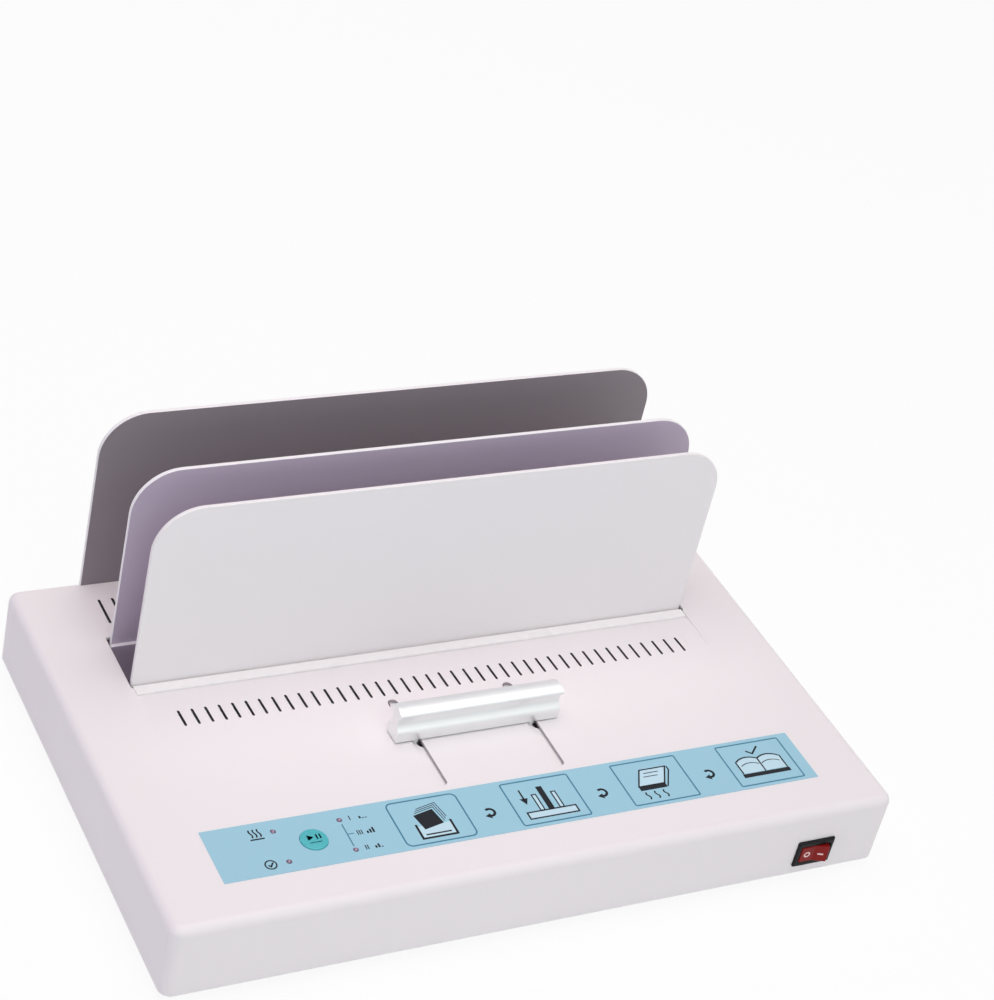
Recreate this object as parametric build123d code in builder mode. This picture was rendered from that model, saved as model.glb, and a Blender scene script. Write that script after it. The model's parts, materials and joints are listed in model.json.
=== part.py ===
from build123d import *
import os

os.makedirs("parts", exist_ok=True)

# Thermal binding machine, in millimetres. +Z is up, +X is the user's right and -Y faces the
# user. The origin is on the table, under the middle of the housing.

# ---- driving dimensions ----
# housing
housing_width = 386.0
housing_depth = 245.0
housing_height = 40.5
corner_radius = 6.0
edge_radius = 5.0
cover_sheet = 1.5
lip_width = 12.0
base_sheet = 1.5
base_inset = 3.0
foot_height = 4.5
foot_radius = 9.0
foot_well_radius = 4.2
foot_well_depth = 2.2

# the three upright plates
plate_width = 311.5
plate_rise = 103.5
plate_sheet = 2.2
plate_corner = 24.0
plate_edge = 0.4
front_plate_y = 40.5
moving_plate_y = 71.2
rear_plate_y = 118.8
jaw_travel = 26.0

# vents, slots and the pressed seat in the top
vent_pitch = 7.0
vent_width = 1.5
front_vents = 41
front_vent_length = 12.0
front_vent_y = 11.8
rear_vents = 44
rear_vent_length = 19.0
rear_vent_y = 96.4
seat_front_y = 6.5
seat_depth = 1.5
strip_depth = 7.5
strip_sheet = 1.5
strip_bend_radius = 3.0
slot_middle_x = -1.0
slot_spacing = 64.2
slot_width = 5.4
slot_front_y = -61.5
slot_rear_y = 2.6

# handle, carriage and slide
handle_length = 89.8
handle_x = 0.2
handle_y = -23.8
handle_gap = 0.6
shoe_length = 9.0
shoe_width = 5.0
carriage_sheet = 2.0
carriage_gap = 0.6
tongue_width = 96.0
arm_x = 158.0
arm_sheet = 2.0
arm_bottom = 24.0
arm_height = 18.0
arm_front_y = -14.0
arm_rear_y = 72.0
block_width = 20.0
block_length = 12.0
block_height = 16.0
rod_x = 172.0
rod_z = 33.0
rod_radius = 4.0
spigot_radius = 3.0
rod_clearance = 0.05
bracket_sheet = 2.0
end_clearance = 6.0
front_bracket_y = arm_front_y - jaw_travel - end_clearance
rear_bracket_y = 84.0

# heated trough
heating_plate_top = 22.0
heating_plate_thickness = 5.0
heating_plate_length = 300.0
heating_plate_width = 29.0
heater_y = 58.0
tray_sheet = 1.2

# control panel
label_width = 320.2
label_depth = 33.7
label_y = -82.2
label_thickness = 0.35
button_x = -109.6
button_radius = 6.6
lamp_radius = 1.25
lamp_rise = 0.4
lamp_points = [(x, y) for x in (-126.2, -92.8) for y in (-72.6, -92.8)]
board_width = 74.0
board_depth = 42.0
board_sheet = 1.6

# power switch, snapped into the front, and mains inlet, screwed to the back
switch_x = 151.3
switch_z = 19.3
switch_opening_width = 19.2
switch_opening_height = 13.2
inlet_x = 130.0
inlet_z = 23.0
inlet_opening_width = 27.4
inlet_opening_height = 20.4
opening_clearance = 0.2

# ---- levels and places that follow ----
housing_bottom = foot_height + base_sheet
top_z = housing_bottom + housing_height
sheet_under = top_z - cover_sheet
front_wall_y = -housing_depth / 2
rear_wall_y = housing_depth / 2
plate_top = top_z + plate_rise
strip_front_y = front_plate_y - strip_depth
opening_front_y = front_plate_y - strip_bend_radius - 0.2
opening_rear_y = moving_plate_y + plate_sheet + 3.1
opening_width = plate_width + 3.5
wall_y = moving_plate_y - plate_sheet
carriage_top = sheet_under - carriage_gap
carriage_bottom = carriage_top - carriage_sheet
handle_bottom = top_z + handle_gap
board_top = sheet_under - 6.5

LOW = (Align.CENTER, Align.CENTER, Align.MIN)
HIGH = (Align.CENTER, Align.CENTER, Align.MAX)
BACK = (-90, 0, 0)

# ---- top cover ----
# A folded and welded sheet-steel shell, open below, with a lip turned in all round for the
# base plate. The sheet dips in front of the trough to a pressed seat for the foot strip.
cavity_width = housing_width - 2 * cover_sheet
cavity_depth = housing_depth - 2 * cover_sheet

with BuildPart() as top_cover:
    with BuildSketch(Plane.XY.offset(housing_bottom)):
        RectangleRounded(housing_width, housing_depth, corner_radius)
    extrude(amount=housing_height)
    fillet(top_cover.faces().sort_by(Axis.Z)[-1].edges(), edge_radius)
    with BuildPart(mode=Mode.SUBTRACT) as cavity:
        with BuildSketch(Plane.XY.offset(housing_bottom)) as plan:
            Rectangle(cavity_width, cavity_depth)
            chamfer(plan.vertices(), 3.0)
        extrude(amount=housing_height - cover_sheet)
        chamfer(cavity.faces().sort_by(Axis.Z)[-1].edges(), 2.5)
    with BuildSketch(Plane.XY.offset(housing_bottom)):
        Rectangle(cavity_width, cavity_depth)
        Rectangle(
            housing_width - 2 * lip_width, housing_depth - 2 * lip_width, mode=Mode.SUBTRACT
        )
    extrude(amount=cover_sheet)
    # pressed seat: the metal below the dip first, then the dip
    with BuildSketch(Plane.YZ):
        Polygon(
            (seat_front_y, sheet_under),
            (opening_front_y, sheet_under),
            (opening_front_y, sheet_under - seat_depth),
            (strip_front_y, sheet_under - seat_depth),
            align=None,
        )
    extrude(amount=plate_width / 2 + cover_sheet, both=True)
    with BuildSketch(Plane.YZ):
        Polygon(
            (seat_front_y, top_z),
            (strip_front_y, top_z - seat_depth),
            (opening_front_y, top_z - seat_depth),
            (opening_front_y, top_z + 1),
            (seat_front_y, top_z + 1),
            align=None,
        )
    extrude(amount=plate_width / 2, both=True, mode=Mode.SUBTRACT)
    # everything that is punched through the top
    with BuildSketch(Plane.XY.offset(top_z)):
        with Locations((0, front_vent_y)):
            with GridLocations(vent_pitch, 0, front_vents, 1):
                Rectangle(vent_width, front_vent_length)
        with Locations((0, rear_vent_y)):
            with GridLocations(vent_pitch, 0, rear_vents, 1):
                Rectangle(vent_width, rear_vent_length)
        with Locations((0, (opening_front_y + opening_rear_y) / 2)):
            Rectangle(opening_width, opening_rear_y - opening_front_y)
        with Locations((0, rear_plate_y + plate_sheet / 2)):
            Rectangle(plate_width + 0.6, plate_sheet + 0.4)
        with Locations((slot_middle_x, (slot_front_y + slot_rear_y) / 2)):
            with GridLocations(slot_spacing, 0, 2, 1):
                SlotOverall(slot_rear_y - slot_front_y, slot_width, rotation=90)
        with Locations((button_x, label_y)):
            Circle(button_radius + 0.3)
        with Locations(*lamp_points):
            Circle(lamp_radius + 0.25)
    extrude(amount=-edge_radius - 0.5, mode=Mode.SUBTRACT)
    with BuildSketch(Plane.XZ.offset(-front_wall_y)):
        with Locations((switch_x, switch_z)):
            Rectangle(switch_opening_width, switch_opening_height)
    extrude(amount=-cover_sheet, mode=Mode.SUBTRACT)
    with BuildSketch(Plane.XZ.offset(-rear_wall_y)):
        with Locations((inlet_x, inlet_z)):
            Rectangle(inlet_opening_width, inlet_opening_height)
    extrude(amount=cover_sheet, mode=Mode.SUBTRACT)
top_cover.part.label = "top_cover"
export_step(top_cover.part, "parts/top_cover.step")

# ---- base plate and feet ----
# Flat steel sheet under the cover's lips, with a row of air slots before and behind the heater. The
# four rubber feet are hollow below for the heads of their screws.
foot_points = [(x, y) for x in (-165.0, 165.0) for y in (-97.0, 97.0)]
air_slot_rows = [(0, 14.0), (0, 98.0)]
air_slot_count = 9
air_slot_pitch = 24.0
air_slot_width = 5.0
air_slot_length = 24.0

with BuildPart() as base_plate:
    with BuildSketch(Plane.XY.offset(foot_height)) as plan:
        Rectangle(housing_width - 2 * base_inset, housing_depth - 2 * base_inset)
        chamfer(plan.vertices(), 3.0)
        with Locations(*air_slot_rows):
            with GridLocations(air_slot_pitch, 0, air_slot_count, 1):
                Rectangle(air_slot_width, air_slot_length, mode=Mode.SUBTRACT)
    extrude(amount=base_sheet)
base_plate.part.label = "base_plate"
export_step(base_plate.part, "parts/base_plate.step")

with BuildPart() as rubber_feet:
    with BuildSketch(Plane.XY.offset(foot_height)):
        with Locations(*foot_points):
            Circle(foot_radius)
    extrude(amount=-foot_height)
    with BuildSketch():
        with Locations(*foot_points):
            Circle(foot_well_radius)
    extrude(amount=foot_well_depth, mode=Mode.SUBTRACT)
rubber_feet.part.label = "rubber_feet"
export_step(rubber_feet.part, "parts/rubber_feet.step")


# ---- upright plates ----
# All three are the same sheet with its top corners rounded and its rim broken. They differ only
# below the cover.
def upright_plate(front_face, bottom):
    with BuildPart() as plate:
        with BuildSketch(Plane.XZ.offset(-front_face)) as outline:
            with Locations((0, bottom)):
                Rectangle(plate_width, plate_top - bottom, align=(Align.CENTER, Align.MIN))
            fillet(outline.vertices().group_by(Axis.Y)[-1], plate_corner)
            chamfer(outline.vertices().group_by(Axis.Y)[0], 2.0)
        extrude(amount=-plate_sheet)
        rims = plate.faces().filter_by(Axis.Y).edges()
        chamfer(rims.filter_by(lambda edge: edge.center().Z > top_z), plate_edge)
    return plate.part


front_plate_bottom = heating_plate_top + 1
moving_plate_bottom = 30.0
rear_plate_bottom = 35.5

with BuildPart() as front_plate:
    add(upright_plate(front_plate_y, front_plate_bottom))
front_plate.part.label = "front_plate"
export_step(front_plate.part, "parts/front_plate.step")

with BuildPart() as moving_plate:
    add(upright_plate(moving_plate_y, moving_plate_bottom))
moving_plate.part.label = "moving_plate"
export_step(moving_plate.part, "parts/moving_plate.step")

with BuildPart() as rear_plate:
    add(upright_plate(rear_plate_y, rear_plate_bottom))
rear_plate.part.label = "rear_plate"
export_step(rear_plate.part, "parts/rear_plate.step")

# ---- rear brackets ----
# Angles on the back wall's inside hold the foot of the rear plate against the wall.
rear_bracket_x = [-110.0, 0.0, 90.0]
clamp_width = 30.0
clamp_sheet = 1.5
clamp_rise = 5.0
clamp_bottom = rear_plate_bottom - 7.5

with BuildPart() as plate_clamps:
    with BuildSketch(Plane.YZ) as section:
        with BuildLine():
            Polyline(
                (rear_plate_y, clamp_bottom + clamp_sheet),
                (rear_plate_y, rear_plate_bottom + clamp_rise),
                (rear_plate_y - clamp_sheet, rear_plate_bottom + clamp_rise),
                (rear_plate_y - clamp_sheet, clamp_bottom),
                (rear_wall_y - cover_sheet, clamp_bottom),
                (rear_wall_y - cover_sheet, clamp_bottom + clamp_sheet),
                close=True,
            )
        make_face()
    for x in rear_bracket_x:
        extrude(
            Pos(x, 0, 0) * section.sketch, amount=clamp_width / 2, dir=(1, 0, 0), both=True
        )
plate_clamps.part.label = "plate_clamps"
export_step(plate_clamps.part, "parts/plate_clamps.step")

# ---- foot strip of the front plate ----
# A bent strip: one leg lies in the pressed seat, the other goes down against the plate.
strip_length = plate_width - 0.5
strip_bottom = 27.0

with BuildPart() as foot_strip:
    with BuildSketch(Plane.YZ):
        with BuildLine():
            FilletPolyline(
                (strip_front_y, top_z),
                (front_plate_y, top_z),
                (front_plate_y, strip_bottom),
                radius=strip_bend_radius,
            )
            Line((front_plate_y, strip_bottom), (front_plate_y - strip_sheet, strip_bottom))
            FilletPolyline(
                (front_plate_y - strip_sheet, strip_bottom),
                (front_plate_y - strip_sheet, top_z - strip_sheet),
                (strip_front_y, top_z - strip_sheet),
                radius=strip_bend_radius - strip_sheet,
            )
            Line((strip_front_y, top_z - strip_sheet), (strip_front_y, top_z))
        make_face()
    extrude(amount=strip_length / 2, both=True)
foot_strip.part.label = "foot_strip"
export_step(foot_strip.part, "parts/foot_strip.step")

# ---- jaw bracket ----
# The wall that sweeps over the heating plate. Its top edge is level with the cover, the moving
# plate is fixed to its back, and its ends turn forward to meet the slide arms.
wall_half = 154.5
flange_sheet = 1.6
flange_front_y = 55.0
flange_bottom = 27.0
flange_top = 38.0

with BuildPart() as jaw_bracket:
    with BuildSketch(Plane.XZ.offset(-wall_y)):
        with Locations((0, front_plate_bottom)):
            Rectangle(2 * wall_half, top_z - front_plate_bottom, align=(Align.CENTER, Align.MIN))
        with Locations((0, flange_bottom)):
            Rectangle(2 * arm_x, flange_top - flange_bottom, align=(Align.CENTER, Align.MIN))
    extrude(amount=-plate_sheet)
    with BuildSketch(Plane.XY.offset(flange_bottom)):
        with Locations((0, (flange_front_y + wall_y) / 2)):
            with GridLocations(2 * arm_x - flange_sheet, 0, 2, 1):
                Rectangle(flange_sheet, wall_y - flange_front_y)
    extrude(amount=flange_top - flange_bottom)
jaw_bracket.part.label = "jaw_bracket"
export_step(jaw_bracket.part, "parts/jaw_bracket.step")

# ---- slide arms ----
# Flat bars that pass the ends of the trough, each with a weight-saving window.
arm_middle_y = (arm_front_y + arm_rear_y) / 2
window_length = 36.0
window_height = 7.0

for side_name, side in {"left": -1, "right": 1}.items():
    with BuildPart() as slide_arm:
        with BuildSketch(Plane.YZ.offset(side * arm_x)) as outline:
            with Locations((arm_middle_y, arm_bottom + arm_height / 2)):
                Rectangle(arm_rear_y - arm_front_y, arm_height)
            chamfer(outline.vertices(), 2.5)
            with Locations((arm_middle_y, rod_z)):
                Rectangle(window_length, window_height, mode=Mode.SUBTRACT)
        extrude(amount=side * arm_sheet)
    slide_arm.part.label = f"slide_arm_{side_name}"
    export_step(slide_arm.part, f"parts/slide_arm_{side_name}.step")

# ---- slide blocks, guide rods and their brackets ----
# Two nylon blocks on the outside of each arm run on a ground steel rod. The left pair is bored, and
# the right pair is forked, open outwards, so that the two rods can't bind. The rods are turned down
# at their ends, which are held in the brackets.
block_x = arm_x + arm_sheet + block_width / 2
rod_front_y = front_bracket_y + bracket_sheet
rod_rear_y = rear_bracket_y
rod_middle_y = (rod_rear_y + rod_front_y) / 2

with BuildPart() as slide_blocks:
    with Locations(
        *[
            (side * block_x, y, rod_z)
            for side in (-1, 1)
            for y in (arm_front_y + block_length / 2, arm_rear_y - block_length / 2)
        ]
    ):
        Box(block_width, block_length, block_height)
    with Locations(Location((-rod_x, rod_middle_y, rod_z), BACK)):
        Cylinder(rod_radius + rod_clearance, rod_rear_y - rod_front_y, mode=Mode.SUBTRACT)
    with Locations((rod_x - rod_radius - 1.0, rod_middle_y, rod_z)):
        Box(
            block_width,
            rod_rear_y - rod_front_y,
            2 * (rod_radius + rod_clearance),
            align=(Align.MIN, Align.CENTER, Align.CENTER),
            mode=Mode.SUBTRACT,
        )
slide_blocks.part.label = "slide_blocks"
export_step(slide_blocks.part, "parts/slide_blocks.step")

with BuildPart() as guide_rods:
    with Locations(*[Location((side * rod_x, rod_middle_y, rod_z), BACK) for side in (-1, 1)]):
        Cylinder(rod_radius, rod_rear_y - rod_front_y)
        Cylinder(spigot_radius, rod_rear_y - rod_front_y + 2 * bracket_sheet)
guide_rods.part.label = "guide_rods"
export_step(guide_rods.part, "parts/guide_rods.step")

bracket_width = 17.6
bracket_foot = 18.0
bracket_top = 42.0

with BuildPart() as rod_brackets:
    for x in (-rod_x, rod_x):
        for y in (front_bracket_y, rear_bracket_y):
            with BuildSketch(Plane.YZ.offset(x)):
                with Locations((y, housing_bottom)):
                    Rectangle(
                        bracket_sheet, bracket_top - housing_bottom, align=(Align.MIN, Align.MIN)
                    )
                    Rectangle(bracket_foot, bracket_sheet, align=(Align.MAX, Align.MIN))
            extrude(amount=bracket_width / 2, both=True)
    with Locations(*[Location((side * rod_x, rod_middle_y, rod_z), BACK) for side in (-1, 1)]):
        Cylinder(spigot_radius, rod_rear_y - rod_front_y + 2 * bracket_sheet, mode=Mode.SUBTRACT)
rod_brackets.part.label = "rod_brackets"
export_step(rod_brackets.part, "parts/rod_brackets.step")

# ---- carriage plate ----
# A bent sheet close under the cover: a crossbar from arm to arm, and a tongue that runs forward
# below the two slots, closes them and carries the handle. Its rear edge is turned down as a rib, and
# four round holes lie half under the slots' edges, before and behind the shoes.
crossbar_front_y = -12.0
crossbar_rear_y = 8.0
crossbar_y = (crossbar_front_y + crossbar_rear_y) / 2
tongue_front_y = -66.0
carriage_flange_bottom = 27.0
carriage_rib_depth = 6.0
carriage_rib_length = 300.0
hole_radius = 3.0
hole_offset = 3.6
hole_rear_y = 1.6
hole_front_y = -28.8

with BuildPart() as carriage_plate:
    with BuildSketch(Plane.XY.offset(carriage_bottom)) as plan:
        with Locations((0, crossbar_y)):
            Rectangle(2 * arm_x, crossbar_rear_y - crossbar_front_y)
        with Locations((0, (tongue_front_y + crossbar_front_y) / 2)):
            Rectangle(tongue_width, crossbar_front_y - tongue_front_y)
        chamfer(plan.vertices().group_by(Axis.Y)[0], 5.0)
        with Locations(
            (slot_middle_x - hole_offset, hole_rear_y), (slot_middle_x + hole_offset, hole_front_y)
        ):
            with GridLocations(slot_spacing, 0, 2, 1):
                Circle(hole_radius, mode=Mode.SUBTRACT)
    extrude(amount=carriage_sheet)
    with BuildSketch(Plane.XY.offset(carriage_flange_bottom)):
        with Locations((0, crossbar_y)):
            with GridLocations(2 * arm_x - carriage_sheet, 0, 2, 1):
                Rectangle(carriage_sheet, crossbar_rear_y - crossbar_front_y)
    extrude(amount=carriage_top - carriage_flange_bottom)
    with BuildSketch(Plane.XY.offset(carriage_bottom - carriage_rib_depth)):
        with Locations((0, crossbar_rear_y - carriage_sheet / 2)):
            Rectangle(carriage_rib_length, carriage_sheet)
    extrude(amount=carriage_rib_depth + carriage_sheet)
carriage_plate.part.label = "carriage_plate"
export_step(carriage_plate.part, "parts/carriage_plate.step")

# ---- handle and its shoes ----
# An aluminium extrusion with a rolled top, a concave waist for the fingers and an upright foot.
# White nylon shoes fill the slots below it and seat it on the tongue.
handle_height = 18.3
foot_half = 5.2
bulge_half = 5.5
waist_half = 2.9
roll_half = 5.3

handle_end = Plane(
    (handle_x - handle_length / 2, handle_y, handle_bottom), (0, 1, 0), (1, 0, 0)
)

with BuildPart() as handle:
    with BuildSketch(handle_end):
        with BuildLine():
            Line((0, 0), (foot_half - 0.4, 0))
            RadiusArc((foot_half - 0.4, 0), (foot_half, 0.4), -0.4)
            Line((foot_half, 0.4), (bulge_half, 4.6))
            ThreePointArc((bulge_half, 4.6), (bulge_half - 0.2, 5.9), (bulge_half - 0.8, 7.0))
            ThreePointArc((bulge_half - 0.8, 7.0), (waist_half, 10.8), (3.5, 14.3))
            Line((3.5, 14.3), (roll_half - 0.3, 15.1))
            ThreePointArc((roll_half - 0.3, 15.1), (roll_half, 16.3), (roll_half - 1.1, 17.5))
            ThreePointArc((roll_half - 1.1, 17.5), (2.3, 18.07), (0, handle_height))
            mirror(about=Plane.YZ)
        make_face()
    extrude(amount=handle_length)
handle.part.label = "handle"
export_step(handle.part, "parts/handle.step")

with BuildPart() as handle_shoes:
    with BuildSketch(Plane.XY.offset(carriage_top)) as plan:
        with Locations((slot_middle_x, handle_y)):
            with GridLocations(slot_spacing, 0, 2, 1):
                Rectangle(shoe_width, shoe_length)
        chamfer(plan.vertices(), 1.2)
    extrude(amount=handle_bottom - carriage_top)
handle_shoes.part.label = "handle_shoes"
export_step(handle_shoes.part, "parts/handle_shoes.step")

# ---- heater ----
# A flat heating plate at the bottom of the trough, warmed by a strip heater below it. Both lie on
# insulation in a shallow tray that stands clear of the base on three hat-shaped stands.
heating_plate_bottom = heating_plate_top - heating_plate_thickness
strip_heater_length = 286.0
strip_heater_width = 20.0
strip_heater_sheet = 1.6
insulation_sheet = 3.0
insulation_top = heating_plate_bottom - strip_heater_sheet
insulation_bottom = insulation_top - insulation_sheet
tray_bottom = insulation_bottom - tray_sheet
tray_length = heating_plate_length + 4.0
tray_width = heating_plate_width + 3.0
tray_top = heating_plate_top - 2.0

with BuildPart() as heating_plate:
    with Locations((0, heater_y, heating_plate_bottom)):
        Box(heating_plate_length, heating_plate_width, heating_plate_thickness, align=LOW)
    chamfer(heating_plate.edges().group_by(Axis.Z)[-1], 0.6)
heating_plate.part.label = "heating_plate"
export_step(heating_plate.part, "parts/heating_plate.step")

with BuildPart() as strip_heater:
    with Locations((0, heater_y, insulation_top)):
        Box(strip_heater_length, strip_heater_width, strip_heater_sheet, align=LOW)
strip_heater.part.label = "strip_heater"
export_step(strip_heater.part, "parts/strip_heater.step")

with BuildPart() as insulation_board:
    with Locations((0, heater_y, insulation_bottom)):
        Box(heating_plate_length, heating_plate_width - 1, insulation_sheet, align=LOW)
insulation_board.part.label = "insulation_board"
export_step(insulation_board.part, "parts/insulation_board.step")

with BuildPart() as heater_tray:
    with Locations((0, heater_y, tray_bottom)):
        Box(tray_length, tray_width, tray_top - tray_bottom, align=LOW)
    offset(amount=-tray_sheet, openings=heater_tray.faces().sort_by(Axis.Z)[-1])
heater_tray.part.label = "heater_tray"
export_step(heater_tray.part, "parts/heater_tray.step")

stand_sheet = 1.5
stand_width = 16.0
stand_half = 14.0
stand_foot = 10.0

with BuildPart() as heater_stands:
    for x in (-110.0, 0.0, 110.0):
        with BuildSketch(Plane.YZ.offset(x)):
            with Locations((heater_y, housing_bottom)):
                Rectangle(
                    2 * stand_half, tray_bottom - housing_bottom, align=(Align.CENTER, Align.MIN)
                )
                Rectangle(
                    2 * stand_half + 2 * stand_foot, stand_sheet, align=(Align.CENTER, Align.MIN)
                )
                Rectangle(
                    2 * stand_half - 2 * stand_sheet,
                    tray_bottom - housing_bottom - stand_sheet,
                    align=(Align.CENTER, Align.MIN),
                    mode=Mode.SUBTRACT,
                )
        extrude(amount=stand_width / 2, both=True)
heater_stands.part.label = "heater_stands"
export_step(heater_stands.part, "parts/heater_stands.step")

# ---- control panel ----
# A printed foil label across the front of the top, open for the key and the four lamps.
with BuildPart() as control_label:
    with BuildSketch(Plane.XY.offset(top_z)):
        with Locations((0, label_y)):
            Rectangle(label_width, label_depth)
        with Locations((button_x, label_y)):
            Circle(button_radius + 0.3, mode=Mode.SUBTRACT)
        with Locations(*lamp_points):
            Circle(lamp_radius + 0.15, mode=Mode.SUBTRACT)
    extrude(amount=label_thickness)
control_label.part.label = "control_label"
export_step(control_label.part, "parts/control_label.step")

# the key's cap, a collar that keeps it under the sheet, and a stem above the board's switch
button_travel = 0.8
button_top = top_z + 1.0
collar_top = sheet_under - 0.2
tact_top = board_top + 3.5

with BuildPart() as start_button:
    with Locations((button_x, label_y, button_top)):
        Cylinder(button_radius, button_top - collar_top, align=HIGH)
    with BuildSketch(Plane.XY.offset(collar_top)):
        with Locations((button_x, label_y)):
            RegularPolygon(button_radius + 1.8, 8)
    extrude(amount=-1.2)
    with Locations((button_x, label_y, collar_top)):
        Box(3.0, 3.0, collar_top - tact_top - button_travel - 0.1, align=HIGH)
    chamfer(start_button.edges().group_by(Axis.Z)[-1], 0.4)
start_button.part.label = "start_button"
export_step(start_button.part, "parts/start_button.step")

# light pipes from the board to just above the foil
with BuildPart() as status_lamps:
    with BuildSketch(Plane.XY.offset(board_top)):
        with Locations(*lamp_points):
            Circle(lamp_radius)
    extrude(amount=top_z + label_thickness + lamp_rise - board_top)
status_lamps.part.label = "status_lamps"
export_step(status_lamps.part, "parts/status_lamps.step")

with BuildPart() as control_board:
    with Locations((button_x, label_y, board_top)):
        Box(board_width, board_depth, board_sheet, align=HIGH)
control_board.part.label = "control_board"
export_step(control_board.part, "parts/control_board.step")

with BuildPart() as board_standoffs:
    with BuildSketch(Plane.XY.offset(board_top)):
        with Locations((button_x, label_y)):
            with GridLocations(board_width - 8, board_depth - 8, 2, 2):
                RegularPolygon(2.75, 6, major_radius=False)
    extrude(amount=sheet_under - board_top)
board_standoffs.part.label = "board_standoffs"
export_step(board_standoffs.part, "parts/board_standoffs.step")

# the key's switch above the board; controller and connector below it
with BuildPart() as board_components:
    with Locations((button_x, label_y, board_top)):
        Box(6.0, 6.0, 3.0, align=LOW)
        Box(2.6, 2.6, tact_top - board_top, align=LOW)
    with Locations((button_x + 4.0, label_y + 2.0, board_top - board_sheet)):
        Box(18.0, 7.0, 2.4, align=HIGH)
    with Locations((button_x + 24.0, label_y, board_top - board_sheet)):
        Box(6.0, 22.0, 7.0, align=HIGH)
board_components.part.label = "board_components"
export_step(board_components.part, "parts/board_components.step")

# ---- power supply ----
# A circuit board on hexagonal spacers behind the switch, with a transformer, relay, fuse holder
# and terminal row.
power_x = 96.0
power_y = -74.0
power_width = 92.0
power_depth = 56.0
spacer_height = 6.0
power_board_bottom = housing_bottom + spacer_height
power_board_top = power_board_bottom + board_sheet

with BuildPart() as power_board:
    with Locations((power_x, power_y, power_board_bottom)):
        Box(power_width, power_depth, board_sheet, align=LOW)
power_board.part.label = "power_board"
export_step(power_board.part, "parts/power_board.step")

with BuildPart() as board_spacers:
    with BuildSketch(Plane.XY.offset(housing_bottom)):
        with Locations((power_x, power_y)):
            with GridLocations(power_width - 8, power_depth - 8, 2, 2):
                RegularPolygon(2.75, 6, major_radius=False)
    extrude(amount=spacer_height)
board_spacers.part.label = "board_spacers"
export_step(board_spacers.part, "parts/board_spacers.step")

with BuildPart() as transformer:
    with Locations((power_x - 20.0, power_y, power_board_top)):
        Box(32.0, 27.0, 22.0, align=LOW)
    chamfer(transformer.edges().filter_by(Axis.Z), 1.5)
transformer.part.label = "transformer"
export_step(transformer.part, "parts/transformer.step")

with BuildPart() as power_components:
    with Locations((power_x + 14.0, power_y + 12.0, power_board_top)):
        Box(19.0, 15.5, 15.5, align=LOW)
    with Locations((power_x + 12.0, power_y - 12.0, power_board_top)):
        Box(22.0, 9.0, 8.0, align=LOW)
    with Locations((power_x + 34.0, power_y - 6.0, power_board_top)):
        Box(9.0, 26.0, 10.0, align=LOW)
        with Locations((4.5, 0, 5.0)):
            with GridLocations(0, 5.0, 1, 5):
                Box(4.0, 3.2, 3.2, mode=Mode.SUBTRACT)
power_components.part.label = "power_components"
export_step(power_components.part, "parts/power_components.step")

# ---- power switch ----
# A snap-in rocker switch. The rocker turns on two short pins, snapped into eyes in the body's upper
# and lower walls, and stands with its off side pressed.
bezel_width = 21.6
bezel_height = 16.0
bezel_depth = 1.6
switch_depth = 13.0
cavity_half_width = 8.5
cavity_half_height = 5.0
rocker_well_depth = 12.5
rocker_tilt = 11.0
rocker_half_height = cavity_half_height - 0.2
pin_radius = 1.2
pivot_y = front_wall_y + 1.9

with BuildPart() as switch_body:
    with BuildSketch(Plane.XZ.offset(-front_wall_y)):
        with Locations((switch_x, switch_z)):
            Rectangle(bezel_width, bezel_height)
    extrude(amount=bezel_depth)
    chamfer(switch_body.edges().group_by(Axis.Y)[0], 0.8)
    with BuildSketch(Plane.XZ.offset(-front_wall_y)):
        with Locations((switch_x, switch_z)):
            Rectangle(
                switch_opening_width - 2 * opening_clearance,
                switch_opening_height - 2 * opening_clearance,
            )
    extrude(amount=-switch_depth)
    with BuildSketch(Plane.XZ.offset(-front_wall_y + bezel_depth)):
        with Locations((switch_x, switch_z)):
            Rectangle(2 * cavity_half_width, 2 * cavity_half_height)
    extrude(amount=-rocker_well_depth, mode=Mode.SUBTRACT)
    with Locations((switch_x, pivot_y, switch_z)):
        Cylinder(pin_radius + 0.05, 2 * cavity_half_height + 2.0, mode=Mode.SUBTRACT)
switch_body.part.label = "switch_body"
export_step(switch_body.part, "parts/switch_body.step")

with BuildPart() as switch_rocker:
    with BuildSketch(Plane.XY.offset(switch_z - rocker_half_height)):
        with Locations(Location((switch_x, pivot_y, 0), (0, 0, -rocker_tilt))):
            Polygon(
                (0, -3.76),
                (7.4, -5.2),
                (7.9, -2.5),
                (8.2, 0),
                (7.4, 3.4),
                (-7.4, 3.4),
                (-8.2, 0),
                (-7.9, -2.5),
                (-7.4, -5.2),
                align=None,
            )
    extrude(amount=2 * rocker_half_height)
    with Locations((switch_x, pivot_y, switch_z)):
        Cylinder(pin_radius, 2 * cavity_half_height + 1.8)
switch_rocker.part.label = "switch_rocker"
export_step(switch_rocker.part, "parts/switch_rocker.step")

with BuildPart() as switch_terminals:
    with Locations((switch_x, front_wall_y + switch_depth, switch_z)):
        with GridLocations(7.0, 0, 3, 1):
            Box(0.8, 7.0, 4.8, align=(Align.CENTER, Align.MIN, Align.CENTER))
switch_terminals.part.label = "switch_terminals"
export_step(switch_terminals.part, "parts/switch_terminals.step")

# ---- mains inlet ----
# An appliance inlet with a flange outside the wall and a three-pin socket for the cord's connector.
inlet_flange = 3.6
inlet_depth = 20.0
socket_depth = 16.0
inlet_rear_y = rear_wall_y + inlet_flange

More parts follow.
